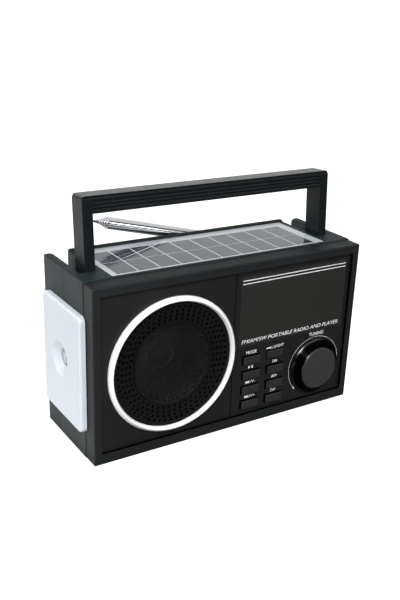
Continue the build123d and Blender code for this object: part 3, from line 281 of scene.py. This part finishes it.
def solar_cell():
    """Dark silicon under clear laminate, with printed silver fingers and cell to cell variation."""
    s = Shader("solar_cell")
    x, y = s.axis(0), s.axis(1)
    first_x, first_y = -76.2 * MM, -18.6 * MM
    pitch_x, pitch_y = 14.93 * MM, 21.05 * MM
    column = s.math("FLOOR", s.math("DIVIDE", s.math("SUBTRACT", x, first_x), pitch_x))
    row = s.math("FLOOR", s.math("DIVIDE", s.math("SUBTRACT", y, first_y), pitch_y))
    seed = s.node("ShaderNodeCombineXYZ", {0: column, 1: row}).outputs[0]
    lot = s.node("ShaderNodeTexWhiteNoise", {0: seed}).outputs["Value"]
    base = s.mix(lot, (0.013, 0.019, 0.029), (0.020, 0.027, 0.038))
    crystal = s.cells(420.0)
    base = s.mix(s.math("MULTIPLY", crystal, 0.25), base, (0.05, 0.06, 0.08))
    fingers = s.stripes(y, 1.75 * MM, 0.10 * MM)
    base = s.mix(s.math("MULTIPLY", fingers, 0.25), base, (0.16, 0.17, 0.19))
    s.set(Base_Color=base, Roughness=0.5, Specular_IOR_Level=0.1)
    haze = s.span(s.noise(140.0, 4.0), 0.3, 0.8, 0.004, 0.012)
    s.set(Coat_Weight=1.0, Coat_Roughness=haze, Coat_IOR=1.55)
    return s.bump(s.noise(45.0, 2.0), 0.02, 0.1 * MM).material


def solar_border():
    """White backing sheet under the same laminate."""
    s = Shader("solar_border")
    stain = s.noise(90.0, 4.0)
    base = s.mix(stain, (0.41, 0.435, 0.47), (0.45, 0.48, 0.515))
    s.set(Base_Color=base, Roughness=0.5, Specular_IOR_Level=0.2, Coat_Weight=0.55, Coat_IOR=1.45)
    s.set(Coat_Roughness=s.span(stain, 0.3, 0.8, 0.02, 0.06))
    return s.bump(s.noise(45.0, 2.0), 0.03, 0.1 * MM, s.rounded(0.2 * MM)).material


def milky(name, colour, scatter=0.35):
    """Milky diffuser plastic that scatters light inside."""
    s = Shader(name)
    cloud = s.noise(28.0, 4.0)
    base = s.mix(cloud, lighter(colour, 0.965), colour)
    s.set(Base_Color=base, Roughness=s.span(s.noise(90.0, 4.0), 0.3, 0.8, 0.28, 0.38))
    s.set(Subsurface_Weight=scatter, Subsurface_Radius=(1.0, 1.0, 1.0), Subsurface_Scale=2.5 * MM)
    return s.bump(s.noise(1400.0, 2.0), 0.06, 0.03 * MM, s.rounded(0.2 * MM)).material


def clear_lens():
    """Moulded clear lens with faint ripples."""
    s = Shader("clear_lens")
    tint = s.noise(80.0, 2.0)
    s.set(Base_Color=s.mix(tint, (0.82, 0.86, 0.88), (0.92, 0.95, 0.96)), Transmission_Weight=0.85)
    s.set(Roughness=s.span(tint, 0.3, 0.7, 0.03, 0.08), IOR=1.49)
    return s.bump(s.noise(150.0, 2.0), 0.05, 0.05 * MM).material


def board(name, colour, copper):
    """Printed circuit board: solder mask over traces, with pads and a speckle of glass weave."""
    s = Shader(name)
    width, wander = 0.5 * MM, 10.0 * MM
    across = s.math("MULTIPLY_ADD", s.noise(40.0, 0.0), wander, s.axis(0))
    along = s.math("MULTIPLY_ADD", s.noise(55.0, 0.0), wander, s.axis(2))
    patch = s.math("GREATER_THAN", s.noise(60.0, 1.0), 0.5)
    trace_x = s.math("MULTIPLY", s.stripes(across, 2.6 * MM, width), patch)
    trace_z = s.math("MULTIPLY", s.stripes(along, 3.1 * MM, width), s.math("SUBTRACT", 1.0, patch))
    trace = s.math("MAXIMUM", trace_x, trace_z)
    pads = s.math("LESS_THAN", s.cells(300.0), 0.16)
    base = s.mix(s.math("MULTIPLY", trace, 0.6), colour, lighter(colour, 1.9))
    base = s.mix(pads, base, copper)
    rough = s.span(s.noise(800.0), 0.3, 0.7, 0.28, 0.40)
    s.set(Base_Color=base, Roughness=rough, Metallic=s.math("MULTIPLY", pads, 0.8))
    return s.bump(s.math("ADD", trace, pads), 0.3, 0.04 * MM).material


def fibre(name, colour, scale=500.0, rough=0.85, stretch=None, sheen=0.3, depth=0.12 * MM):
    """Matt fibrous or cast material, such as paper, cord, ferrite or rubber."""
    s = Shader(name)
    strand = s.noise(scale, 5.0, 0.7, stretch=stretch)
    blot = s.noise(scale / 14, 3.0)
    base = s.mix(strand, lighter(colour, 0.7), lighter(colour, 1.3))
    base = s.mix(s.math("MULTIPLY", blot, 0.4), base, lighter(colour, 0.8))
    matt = s.span(blot, 0.3, 0.7, rough - 0.08, rough + 0.06)
    s.set(Base_Color=base, Roughness=matt, Sheen_Weight=sheen)
    return s.bump(strand, 0.5, depth).material


def wound(name, colour, pitch, axis=0, metallic=0.6):
    """Close turns of fine wire round an axis, with painted shade in the grooves between turns."""
    s = Shader(name)
    phase = s.math("FRACT", s.math("DIVIDE", s.axis(axis), pitch))
    turn = s.math("SINE", s.math("MULTIPLY", phase, pi))
    # Painted shade: the colour is darker in the grooves between turns.
    base = s.mix(turn, lighter(colour, 0.35), colour)
    base = s.mix(s.math("MULTIPLY", s.noise(300.0), 0.4), base, lighter(colour, 0.7))
    s.set(Base_Color=base, Roughness=s.span(turn, 0.0, 1.0, 0.6, 0.3), Metallic=metallic)
    return s.bump(turn, 0.8, 0.1 * MM).material


def printed(name, colour, rough=0.4):
    """Screen-printed ink, slightly uneven."""
    s = Shader(name)
    ink = s.noise(700.0, 4.0, 0.7)
    base = s.mix(s.span(ink, 0.3, 0.6), lighter(colour, 0.8), colour)
    s.set(Base_Color=base, Roughness=s.span(ink, 0.3, 0.7, rough - 0.06, rough + 0.08))
    return s.bump(ink, 0.15, 0.01 * MM).material


def dial_print():
    """Dial plate with a plain ruled scale."""
    s = Shader("dial_print")
    x, z = s.axis(0), s.axis(2)
    line_pitch = 12.0 * MM
    major = s.math("MULTIPLY", s.stripes(x, 8.0 * MM, 0.5 * MM), s.stripes(z, line_pitch, 6.0 * MM))
    minor = s.math("MULTIPLY", s.stripes(x, 1.6 * MM, 0.25 * MM), s.stripes(z, line_pitch, 2.4 * MM))
    rule = s.stripes(z, line_pitch, 0.3 * MM)
    marks = s.math("MAXIMUM", s.math("MAXIMUM", major, minor), rule)
    base = s.mix(s.noise(60.0), (0.020, 0.022, 0.024), (0.030, 0.032, 0.034))
    base = s.mix(marks, base, (0.75, 0.76, 0.72))
    s.set(Base_Color=base, Roughness=s.span(s.noise(500.0), 0.3, 0.7, 0.4, 0.5))
    return s.bump(marks, 0.2, 0.02 * MM).material


def battery_wrap():
    """Shrink sleeve of the battery cell, with a paler band near one end."""
    s = Shader("cell_wrap")
    x = s.axis(0)
    sleeve_half = 31.3 * MM
    band_x, band_half = 22.0 * MM, 2.0 * MM
    end = s.span(s.math("ABSOLUTE", x), sleeve_half, sleeve_half + 0.3 * MM)
    off_band = s.math("ABSOLUTE", s.math("SUBTRACT", x, band_x))
    band = s.math("LESS_THAN", off_band, band_half)
    wrinkle = s.noise(260.0, 4.0, 0.6, stretch=(0.3, 1.0, 1.0))
    base = s.mix(wrinkle, (0.03, 0.10, 0.22), (0.05, 0.15, 0.30))
    base = s.mix(band, base, (0.55, 0.58, 0.60))
    base = s.mix(end, base, (0.55, 0.55, 0.56))
    rough = s.span(wrinkle, 0.3, 0.7, 0.22, 0.34)
    s.set(Base_Color=base, Roughness=rough, Metallic=s.math("MULTIPLY", end, 0.9))
    return s.bump(wrinkle, 0.3, 0.06 * MM).material


def bay_wall_shade(s):
    """Painted shade: 1 on the walls of the bay round the front panels, which darkens them as if in shadow.
    """
    tuck = 1.75 * MM
    low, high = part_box("speaker_panel")[0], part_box("control_panel")[1]
    across = s.inside(0, low.x + tuck, high.x - tuck)
    return s.math("MULTIPLY", across, s.inside(2, low.z + tuck, high.z - tuck))


def hole_wall_shade(s):
    """Painted shade: 1 on the walls of the grille holes, behind the dished front face of the plate."""
    lo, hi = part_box("speaker_grille")
    dish_slope = 0.13
    front_at_centre = lo.y + dish_slope * (hi.x - lo.x) / 2
    front = s.math("MULTIPLY_ADD", s.radius((lo + hi) / 2), -dish_slope, front_at_centre)
    depth = s.math("SUBTRACT", s.axis(1), front)
    return s.span(depth, 0.20 * MM, 0.45 * MM)


def key_side_shade(node):
    """Painted shade that is 1 on the sides of a push key, behind its front face."""
    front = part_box(node)[0].y
    return lambda s: s.span(s.axis(1), front + 0.25 * MM, front + 0.45 * MM)


CASE_COLOUR = (0.0115, 0.0175, 0.0185)
FRONT_COLOUR = (0.0098, 0.0112, 0.0122)
PANEL_COLOUR = (0.0085, 0.0088, 0.0096)


def case_moulding(name, colour=CASE_COLOUR, shade=None):
    """Plastic of the two case shells, with a painted dullness on faces that look up."""
    return moulded(name, colour, rough=0.52, grain=0.30, specular=0.27, shade=shade, painted_top_sheen=0.45)


def push_key(name, node):
    """Plastic of the push keys that stand as far out as a node's, with painted shade on their sides."""
    colour = (0.0185, 0.0190, 0.0195)
    return moulded(name, colour, rough=0.36, grain=0.12, edge=0.3 * MM, shade=key_side_shade(node))


def panel_moulding(name):
    """Fine-grained plastic of the two front panels."""
    return moulded(name, PANEL_COLOUR, rough=0.42, grain=0.16, edge_highlight_and_polish=0.3, edge=0.2 * MM, specular=0.4)


def grille_moulding(name):
    """Black plastic of the perforated ring, with painted shade inside its holes."""
    colour = (0.0040, 0.0041, 0.0044)
    edge = 0.15 * MM
    return moulded(name, colour, rough=0.40, grain=0.1, edge=edge, specular=0.22, shade=hole_wall_shade)


def mesh_enamel(name):
    """Black enamel of the wire mesh."""
    colour = (0.0016, 0.0017, 0.0019)
    return moulded(name, colour, rough=0.24, grain=0.1, edge=0.1 * MM, specular=0.22)


def handle_moulding(name):
    """Plastic of the handle, with a painted sheen on faces that look up, such as the top of the grip."""
    colour = (0.0055, 0.0080, 0.0090)
    edge = 0.2 * MM
    return moulded(name, colour, rough=0.34, grain=0.18, edge=edge, specular=0.16, painted_top_sheen=5.2)


def polished_chrome(name):
    lines = (0.05, 1.0, 1.0)
    return metal(name, (0.78, 0.79, 0.81), rough=0.06, lines=lines, smudge=0.04, strength=0.03)


# The look of each material of the CAD record, and then of the nodes that have one of their own.
LOOKS = {
    "case_plastic": lambda: case_moulding("case_plastic"),
    "panel_plastic": lambda: panel_moulding("panel_plastic"),
    "button_plastic": lambda: push_key("button_plastic", "button_mode"),
    "white_gloss": lambda: gloss_white("white_gloss", (0.93, 0.93, 0.93)),
    "knob_gloss": knob_gloss,
    "grille_black": lambda: grille_moulding("grille_black"),
    "mesh_black": lambda: mesh_enamel("mesh_black"),
    "window_smoke": smoked_window,
    "dial_print": dial_print,
    "pointer_red": lambda: moulded("pointer_red", (0.42, 0.02, 0.015), rough=0.35, edge=0.1 * MM),
    "nylon_white": lambda: moulded("nylon_white", (0.66, 0.66, 0.62), rough=0.45, edge=0.1 * MM),
    "cord": lambda: fibre("cord", (0.35, 0.32, 0.24), 2500.0, stretch=(0.5, 1.0, 1.0), depth=0.05 * MM),
    "steel": lambda: metal("steel", (0.56, 0.57, 0.58), rough=0.26, lines=(0.1, 1.0, 1.0)),
    "chrome": lambda: polished_chrome("chrome"),
    "basket_steel": lambda: metal("basket_steel", (0.40, 0.41, 0.42), rough=0.34),
    "ferrite": lambda: fibre("ferrite", (0.045, 0.045, 0.050), 900.0, 0.6, sheen=0.0, depth=0.04 * MM),
    "cone_paper": lambda: fibre("cone_paper", (0.030, 0.029, 0.027), 700.0),
    "surround_rubber": lambda: fibre("surround_rubber", (0.018, 0.018, 0.018), 1200.0, 0.6, depth=0.03 * MM),
    "coil_copper": lambda: wound("coil_copper", (0.60, 0.28, 0.14), 0.3 * MM, axis=1, metallic=0.9),
    "board_green": lambda: board("board_green", (0.015, 0.085, 0.035), (0.70, 0.62, 0.42)),
    "component_black": lambda: moulded("component_black", (0.018, 0.018, 0.019), 0.5, edge=0.15 * MM),
    "litz_wire": lambda: wound("litz_wire", (0.45, 0.25, 0.12), 0.55 * MM, axis=0, metallic=0.3),
    "cell_wrap": battery_wrap,
    "solar_white": solar_border,
    "solar_cell": solar_cell,
    "lamp_milky": lambda: milky("lamp_milky", (0.555, 0.595, 0.645)),
    "clear_lens": clear_lens,
    "led_white": lambda: milky("led_white", (0.85, 0.83, 0.62), scatter=0.15),
}
NODE_LOOKS = {
    "button_light": lambda: push_key("light_key_plastic", "button_light"),
    # The front shell has painted shade on the walls of its bay.
    "front_cabinet": lambda: case_moulding("front_case_plastic", FRONT_COLOUR, bay_wall_shade),
    "handle": lambda: handle_moulding("handle_plastic"),
}


def dress_nodes():
    """Gives each CAD node the procedural look of its material slot."""
    made = {}
    for name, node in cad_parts.items():
        slot = node.material_slots[0].material.name
        if name in NODE_LOOKS:
            node.material_slots[0].material = NODE_LOOKS[name]()
            continue
        if slot not in made:
            made[slot] = LOOKS[slot]()
        node.material_slots[0].material = made[slot]
    return made


looks = dress_nodes()


# ---- pieces made here -----------------------------------------------------------------------------
def piece(name, mesh, material, smooth=False):
    """Puts a finished mesh into the scene as a piece of the object that rides on the case."""
    obj = bpy.data.objects.new(name, mesh)
    bpy.context.scene.collection.objects.link(obj)
    mesh.materials.clear()
    mesh.materials.append(material)
    for polygon in mesh.polygons:
        polygon.use_smooth = smooth
    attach(obj, "root")
    return obj


def add_tube(bm, points, radius, sides=4):
    """Closed round wire along a list of points, with end caps."""
    rings = []
    for i, point in enumerate(points):
        ahead = points[min(i + 1, len(points) - 1)] - points[max(i - 1, 0)]
        along = ahead.normalized()
        across = along.cross(Vector((0, 1, 0))).normalized()
        up = across.cross(along)
        ring = []
        for k in range(sides):
            angle = 2 * pi * (k + 0.5) / sides
            offset = across * (radius * cos(angle)) + up * (radius * sin(angle))
            ring.append(bm.verts.new(point + offset))
        rings.append(ring)
    for a, b in zip(rings, rings[1:]):
        for k in range(sides):
            n = (k + 1) % sides
            bm.faces.new((a[k], a[n], b[n], b[k]))
    bm.faces.new(reversed(rings[0]))
    bm.faces.new(rings[-1])


def woven_dome():
    """Plain-weave wire dome in place of the solid one, with its pressed rim."""
    pitch = 0.86 * MM
    wire = 0.20 * MM  # radius of a wire
    lift = 0.19 * MM  # how far a wire swings to either side of the dome's surface
    per_pitch = 3
    lo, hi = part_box("grille_dome")
    centre = (lo + hi) / 2
    rim_width = 2.0 * MM
    dome_r = (hi.x - lo.x) / 2 - rim_width
    rise = 4.5 * MM
    ball_r = (dome_r**2 + rise**2) / (2 * rise)
    edge_r = dome_r - 0.5 * MM
    crest = lo.y + wire + lift

    def surface(u, v, offset):
        """Point of the dome at (u, v) in its plane, moved along the normal."""
        depth = ball_r - sqrt(ball_r**2 - u * u - v * v)
        normal = Vector((u, -(ball_r - depth), v)).normalized()
        return Vector((centre.x + u, crest + depth, centre.z + v)) + normal * offset

    bm = bmesh.new()
    count = int(edge_r / pitch)
    turn = radians(45)
    for direction in (0, 1):
        for i in range(-count, count + 1):
            c = i * pitch
            half = sqrt(edge_r**2 - c * c)
            steps = max(2, int(2 * half / pitch * per_pitch))
            points = []
            for k in range(steps + 1):
                t = -half + 2 * half * k / steps
                wave = cos(pi * (t / pitch + i + direction))
                a, b = (t, c) if direction == 0 else (c, t)
                u = a * cos(turn) - b * sin(turn)
                v = a * sin(turn) + b * cos(turn)
                points.append(surface(u, v, lift * wave))
            add_tube(bm, points, wire)
    bm.normal_update()
    mesh = bpy.data.meshes.new("grille_weave")
    bm.to_mesh(mesh)
    bm.free()
    weave = piece("grille_weave", mesh, looks["mesh_black"], smooth=True)

    section = [
        (dome_r - 0.9 * MM, crest + rise - 0.55 * MM),
        (dome_r - 0.3 * MM, crest + rise - 0.85 * MM),
        (dome_r, crest + rise - 0.35 * MM),
        (dome_r, hi.y - 0.7 * MM),
        (hi.x - centre.x, hi.y - 0.6 * MM),
        (hi.x - centre.x, hi.y),
        (dome_r - 0.8 * MM, hi.y),
        (dome_r - 0.8 * MM, crest + rise + 0.2 * MM),
    ]
    mesh = lathe("grille_rim", section, centre, 160)
    rim = piece("grille_rim", mesh, looks["grille_black"])
    smooth_by_angle(rim, 40)
    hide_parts("grille_dome")


def lathe(name, section, centre, steps):
    """Closed solid of revolution about a Y axis; the section is a closed loop of (radius, y)."""
    bm = bmesh.new()
    rings = []
    for i in range(steps):
        x, z = cos(2 * pi * i / steps), sin(2 * pi * i / steps)
        rings.append([bm.verts.new((centre.x + r * x, y, centre.z + r * z)) for r, y in section])
    for i in range(steps):
        a, b = rings[i], rings[(i + 1) % steps]
        for k in range(len(section)):
            n = (k + 1) % len(section)
            bm.faces.new((a[k], b[k], b[n], a[n]))
    bmesh.ops.recalc_face_normals(bm, faces=bm.faces)
    mesh = bpy.data.meshes.new(name)
    bm.to_mesh(mesh)
    bm.free()
    return mesh


def smooth_by_angle(obj, degrees):
    """Shades an object smooth, except along edges sharper than an angle."""
    for polygon in obj.data.polygons:
        polygon.use_smooth = True
    obj.data.set_sharp_from_angle(angle=radians(degrees))


# ---- printing on the front ------------------------------------------------------------------------
PANEL_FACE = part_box("control_panel")[0].y
INK = 0.03 * MM  # thickness of the print
FONT_CAPITAL = 0.70  # height of a capital in the built-in font


def flat_solid(bm, outline):
    """Thin plate of ink with an outline of (x, z) points, standing just proud of the panel."""
    front = [bm.verts.new((x, PANEL_FACE - INK, z)) for x, z in outline]
    back = [bm.verts.new((x, PANEL_FACE, z)) for x, z in outline]
    bm.faces.new(front)
    bm.faces.new(reversed(back))
    for k in range(len(outline)):
        n = (k + 1) % len(outline)
        bm.faces.new((front[k], back[k], back[n], front[n]))


def add_text(bm, words, x, z, height, slant=0.0, weight=0.0, width=None):
    """Adds raised lettering to bm: x is the middle, z the baseline and height that of a capital."""
    data = bpy.data.curves.new("words", "FONT")
    data.body = words
    data.shear = slant
    data.offset = weight
    data.extrude = 0.5
    data.resolution_u = 3
    data.align_x = "CENTER"
    obj = bpy.data.objects.new("words", data)
    bpy.context.scene.collection.objects.link(obj)
    bpy.context.view_layer.update()
    shown = obj.evaluated_get(bpy.context.evaluated_depsgraph_get())
    mesh = bpy.data.meshes.new_from_object(shown)
    bpy.data.objects.remove(obj)
    bpy.data.curves.remove(data)
    xs = [v.co.x for v in mesh.vertices]
    scale = height / FONT_CAPITAL
    scale_x = width / (max(xs) - min(xs)) if width else scale
    middle = (max(xs) + min(xs)) / 2
    for v in mesh.vertices:
        flat = v.co.copy()
        depth = PANEL_FACE - INK * (flat.z + 0.5)
        v.co = Vector((x + (flat.x - middle) * scale_x, depth, z + flat.y * scale))
    bm.from_mesh(mesh)
    bpy.data.meshes.remove(mesh)


def finish_print(name, bm, material):
    """Turns the plates and letters of bm into one piece."""
    bmesh.ops.remove_doubles(bm, verts=bm.verts, dist=1e-6)
    bmesh.ops.recalc_face_normals(bm, faces=bm.faces)
    mesh = bpy.data.meshes.new(name)
    bm.to_mesh(mesh)
    bm.free()
    piece(name, mesh, material)


def bar(x0, x1, z0, z1):
    """Outline of an upright rectangle."""
    return [(x0, z0), (x1, z0), (x1, z1), (x0, z1)]


def arrow(x, z, size, direction):
    """Triangle that points right (1) or left (-1), with its base middle at (x, z)."""
    points = [(x, z - size / 2), (x + direction * size * 0.8, z), (x, z + size / 2)]
    return points if direction > 0 else points[::-1]


def print_window():
    """Two silver rules across the top of the window, and the legend along its bottom edge."""
    lo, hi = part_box("display_window")
    x0, x1 = lo.x + 2.0 * MM, hi.x - 2.1 * MM
    half = 0.30
    bm = bmesh.new()
    for z in (102.6, 100.4):
        flat_solid(bm, bar(x0, x1, (z - half) * MM, (z + half) * MM))
    finish_print("window_rules", bm, silver_ink)
    bm = bmesh.new()
    legend = "FM/AM/SW PORTABLE RADIO AND PLAYER"
    add_text(bm, legend, 47.4 * MM, 58.7 * MM, 2.6 * MM, slant=0.22, width=81.5 * MM)
    finish_print("window_legend", bm, white_ink)


def print_labels():
    """Names and signs above the push keys, and the word above the knob."""
    bm = bmesh.new()
    height = 2.15 * MM
    words = {"button_mode": "MODE", "button_fm": "FM", "button_am": "AM", "button_sw": "SW"}
    for node, word in words.items():
        x, z = above(node)
        add_text(bm, word, x, z, height)
    knob_lo, knob_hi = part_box("tuning_knob")
    x, z = (knob_lo.x + knob_hi.x) / 2 + 0.2 * MM, knob_hi.z + 2.3 * MM
    add_text(bm, "TUNING", x, z, 2.5 * MM, weight=0.002, width=12.5 * MM)

    # Play and pause: an arrow and two bars.
    x, z = above("button_play")
    flat_solid(bm, arrow(x - 1.9 * MM, z + height / 2, height, 1))
    for left in (0.5, 1.4):
        flat_solid(bm, bar(x + left * MM, x + (left + 0.45) * MM, z, z + height))

    # Back and volume down: a bar, two arrows to the left and V-.
    x, z = above("button_volume_down")
    add_text(bm, "/V-", x + 2.4 * MM, z, height)
    flat_solid(bm, bar(x - 3.6 * MM, x - 3.25 * MM, z, z + height))
    for base in (-1.8, -0.4):
        flat_solid(bm, arrow(x + base * MM, z + height / 2, height, -1))

    # Forward and volume up: two arrows to the right, a bar and V+.
    x, z = above("button_volume_up")
    add_text(bm, "/V+", x + 2.4 * MM, z, height)
    for base in (-3.6, -2.2):
        flat_solid(bm, arrow(x + base * MM, z + height / 2, height, 1))
    flat_solid(bm, bar(x - 0.75 * MM, x - 0.4 * MM, z, z + height))

    # Lamp: a torch with three rays, and the word.
    x, z = above("button_light")
    add_text(bm, "LIGHT", x + 2.6 * MM, z, height)
    torch = [(-7.6, 0.5), (-4.8, 0.5), (-3.9, 0.1), (-3.9, 1.65), (-4.8, 1.25), (-7.6, 1.25)]
    flat_solid(bm, [(x + a * MM, z + b * MM) for a, b in torch])
    ray_x, ray_z, ray_l, ray_half = -3.4, 0.87, 0.9, 0.1
    corners = ((0, -ray_half), (ray_l, -ray_half), (ray_l, ray_half), (0, ray_half))
    for tilt in (-0.55, 0.0, 0.55):
        ray = [(ray_x + a, ray_z + tilt * (1 + a) + b) for a, b in corners]
        flat_solid(bm, [(x + a * MM, z + b * MM) for a, b in ray])
    finish_print("key_labels", bm, white_ink)


def above(node):
    """Middle and baseline of the label above a push key."""
    lo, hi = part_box(node)
    return (lo.x + hi.x) / 2, hi.z + 0.15 * MM


def print_arc():
    """Fine silver arc round the knob, with an arrowhead at its lower left end."""
    lo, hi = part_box("tuning_knob")
    middle = (lo + hi) / 2
    inner, outer = 21.50 * MM, 21.71 * MM
    start, end = radians(-16), radians(221)
    steps = 96
    barb = 0.7 * MM
    bm = bmesh.new()
    for k in range(steps):
        a, b = (start + (end - start) * i / steps for i in (k, k + 1))
        ring = ((inner, a), (outer, a), (outer, b), (inner, b))
        flat_solid(bm, [(middle.x + r * cos(t), middle.z + r * sin(t)) for r, t in ring][::-1])
    tip = end + radians(4.5)
    base = end - 0.02
    head = [(inner - barb, base), (outer + barb, base), ((inner + outer) / 2, tip)]
    flat_solid(bm, [(middle.x + r * cos(t), middle.z + r * sin(t)) for r, t in head][::-1])
    finish_print("tuning_arc", bm, silver_ink)


white_ink = printed("white_ink", (0.92, 0.92, 0.92))
silver_ink = printed("silver_ink", (0.80, 0.81, 0.82), rough=0.35)
woven_dome()
print_window()
print_labels()
print_arc()


# ---- studio ---------------------------------------------------------------------------------------
# Brightness of the surroundings as the object sees them: the floor in front, behind and to the left,
# and the sky in front, behind, overhead and low on the right.
FLOOR_FRONT = 0.03
FLOOR_BACK = 0.35
FLOOR_LEFT = 0.98
# The floor to the left changes by a factor between two places along X.
FLOOR_LEFT_STEPS = ((-0.14, -0.20, 0.62), (-0.27, -0.34, 1.55), (-0.37, -0.42, 0.35))
SKY_FRONT = 0.024
SKY_BACK = 0.84
SKY_TOP = 0.76
SKY_RIGHT = 0.60


def studio_floor():
    """Plain floor: white to the camera, and of uneven brightness to the object."""
    half = 30.0
    bm = bmesh.new()
    bmesh.ops.create_grid(bm, x_segments=2, y_segments=2, size=half)
    mesh = bpy.data.meshes.new("floor")
    bm.to_mesh(mesh)
    bm.free()
    floor = bpy.data.objects.new("floor", mesh)
    floor.location.z = CAD_BOUNDS[0].z - 0.05 * MM
    bpy.context.scene.collection.objects.link(floor)
    s = Shader("floor")
    s.tree.nodes.remove(s.bsdf)
    seen = s.node("ShaderNodeLightPath").outputs["Is Camera Ray"]
    paper = s.mix(s.noise(0.8), (0.42, 0.42, 0.42), (0.44, 0.44, 0.44))
    bright = s.node("ShaderNodeBsdfDiffuse", {"Color": paper}).outputs[0]
    lift = s.node("ShaderNodeEmission", {"Color": (1.0, 1.0, 1.0), "Strength": 0.90}).outputs[0]
    shown = s.node("ShaderNodeAddShader", {0: bright, 1: lift}).outputs[0]
    back = s.span(s.axis(1), -0.15, 0.35, FLOOR_FRONT, FLOOR_BACK)
    side = s.span(s.axis(0), -0.095, -0.110, 0.0, FLOOR_LEFT)
    for start, end, factor in FLOOR_LEFT_STEPS:
        side = s.math("MULTIPLY", side, s.span(s.axis(0), start, end, 1.0, factor))
    glow = s.node("ShaderNodeEmission", {"Strength": s.math("ADD", back, side)}).outputs[0]
    dim = s.node("ShaderNodeBsdfDiffuse", {"Color": (0.03, 0.03, 0.03)}).outputs[0]
    unseen = s.node("ShaderNodeAddShader", {0: dim, 1: glow}).outputs[0]
    mixed = s.node("ShaderNodeMixShader", {0: seen, 1: unseen, 2: shown}).outputs[0]
    s.tree.links.new(mixed, s.output.inputs["Surface"])
    mesh.materials.append(s.material)


def studio_world():
    """Surroundings: white to the camera, and dark in front and bright behind to the object."""
    world = bpy.data.worlds.new("studio")
    bpy.context.scene.world = world
    world.use_nodes = True
    tree = world.node_tree
    tree.nodes.clear()

    def node(kind, inputs=None, **settings):
        made = tree.nodes.new(kind)
        for key, value in settings.items():
            setattr(made, key, value)
        for key, value in (inputs or {}).items():
            if isinstance(value, bpy.types.NodeSocket):
                tree.links.new(value, made.inputs[key])
            else:
                made.inputs[key].default_value = value
        return made

    def ramp(value, low, high, to_low=0.0, to_high=1.0):
        inputs = {0: value, 1: low, 2: high, 3: to_low, 4: to_high}
        return node("ShaderNodeMapRange", inputs).outputs[0]

    def math(operation, a, b):
        return node("ShaderNodeMath", {0: a, 1: b}, operation=operation).outputs[0]

    way = node("ShaderNodeSeparateXYZ", {0: node("ShaderNodeTexCoord").outputs["Generated"]})
    rear = ramp(way.outputs[1], -0.15, 0.55, SKY_FRONT, SKY_BACK)
    high = ramp(way.outputs[2], 0.42, 0.70)
    sky = node("ShaderNodeMix", {0: high, 2: rear, 3: SKY_TOP}).outputs[0]
    right = ramp(way.outputs[0], 0.15, 0.45, 0.0, SKY_RIGHT)
    front = ramp(way.outputs[1], -0.45, -0.60)
    low = ramp(way.outputs[2], 0.02, 0.12)
    panel = math("MULTIPLY", math("MULTIPLY", right, front), low)
    sky = math("ADD", panel, sky)
    seen = node("ShaderNodeLightPath").outputs["Is Camera Ray"]
    final = node("ShaderNodeMix", {0: seen, 2: sky, 3: 1.0}).outputs[0]
    background = node("ShaderNodeBackground", {"Color": (1, 1, 1, 1), "Strength": final})
    out = node("ShaderNodeOutputWorld")
    tree.links.new(background.outputs[0], out.inputs["Surface"])


def soft_light(name, place, target, size, power):
    """White area light at a place, turned to a target."""
    data = bpy.data.lights.new(name, "AREA")
    data.shape = "RECTANGLE"
    data.size, data.size_y = size
    data.energy = power
    light = bpy.data.objects.new(name, data)
    light.location = place
    light.rotation_euler = (Vector(target) - Vector(place)).to_track_quat("-Z", "Y").to_euler()
    bpy.context.scene.collection.objects.link(light)
    return light


def studio_camera():
    """Camera to the left of the front, a little above the handle."""
    data = bpy.data.cameras.new("camera")
    data.sensor_width = 36.0
    data.lens = 50.22
    data.shift_x = -0.0310
    data.shift_y = 0.0179
    data.clip_start = 0.01
    camera = bpy.data.objects.new("camera", data)
    camera.location = (-0.28421, -0.43702, 0.28066)
    camera.rotation_euler = Euler((radians(68.1948), radians(-2.3942), radians(-32.9516)), "XYZ")
    bpy.context.scene.collection.objects.link(camera)
    bpy.context.scene.camera = camera


centre = (CAD_BOUNDS[0] + CAD_BOUNDS[1]) / 2
studio_floor()
studio_world()
soft_light("key_left", (-0.85, 0.30, 0.45), centre, (0.5, 0.5), 2.5)
soft_light("front_fill", (-0.55, -1.0, 0.95), centre, (0.6, 0.6), 24.0)
soft_light("grille_glint", (0.60, -1.0, 0.42), centre, (0.30, 0.12), 0.9)
studio_camera()
bpy.context.scene.view_settings.view_transform = "Standard"
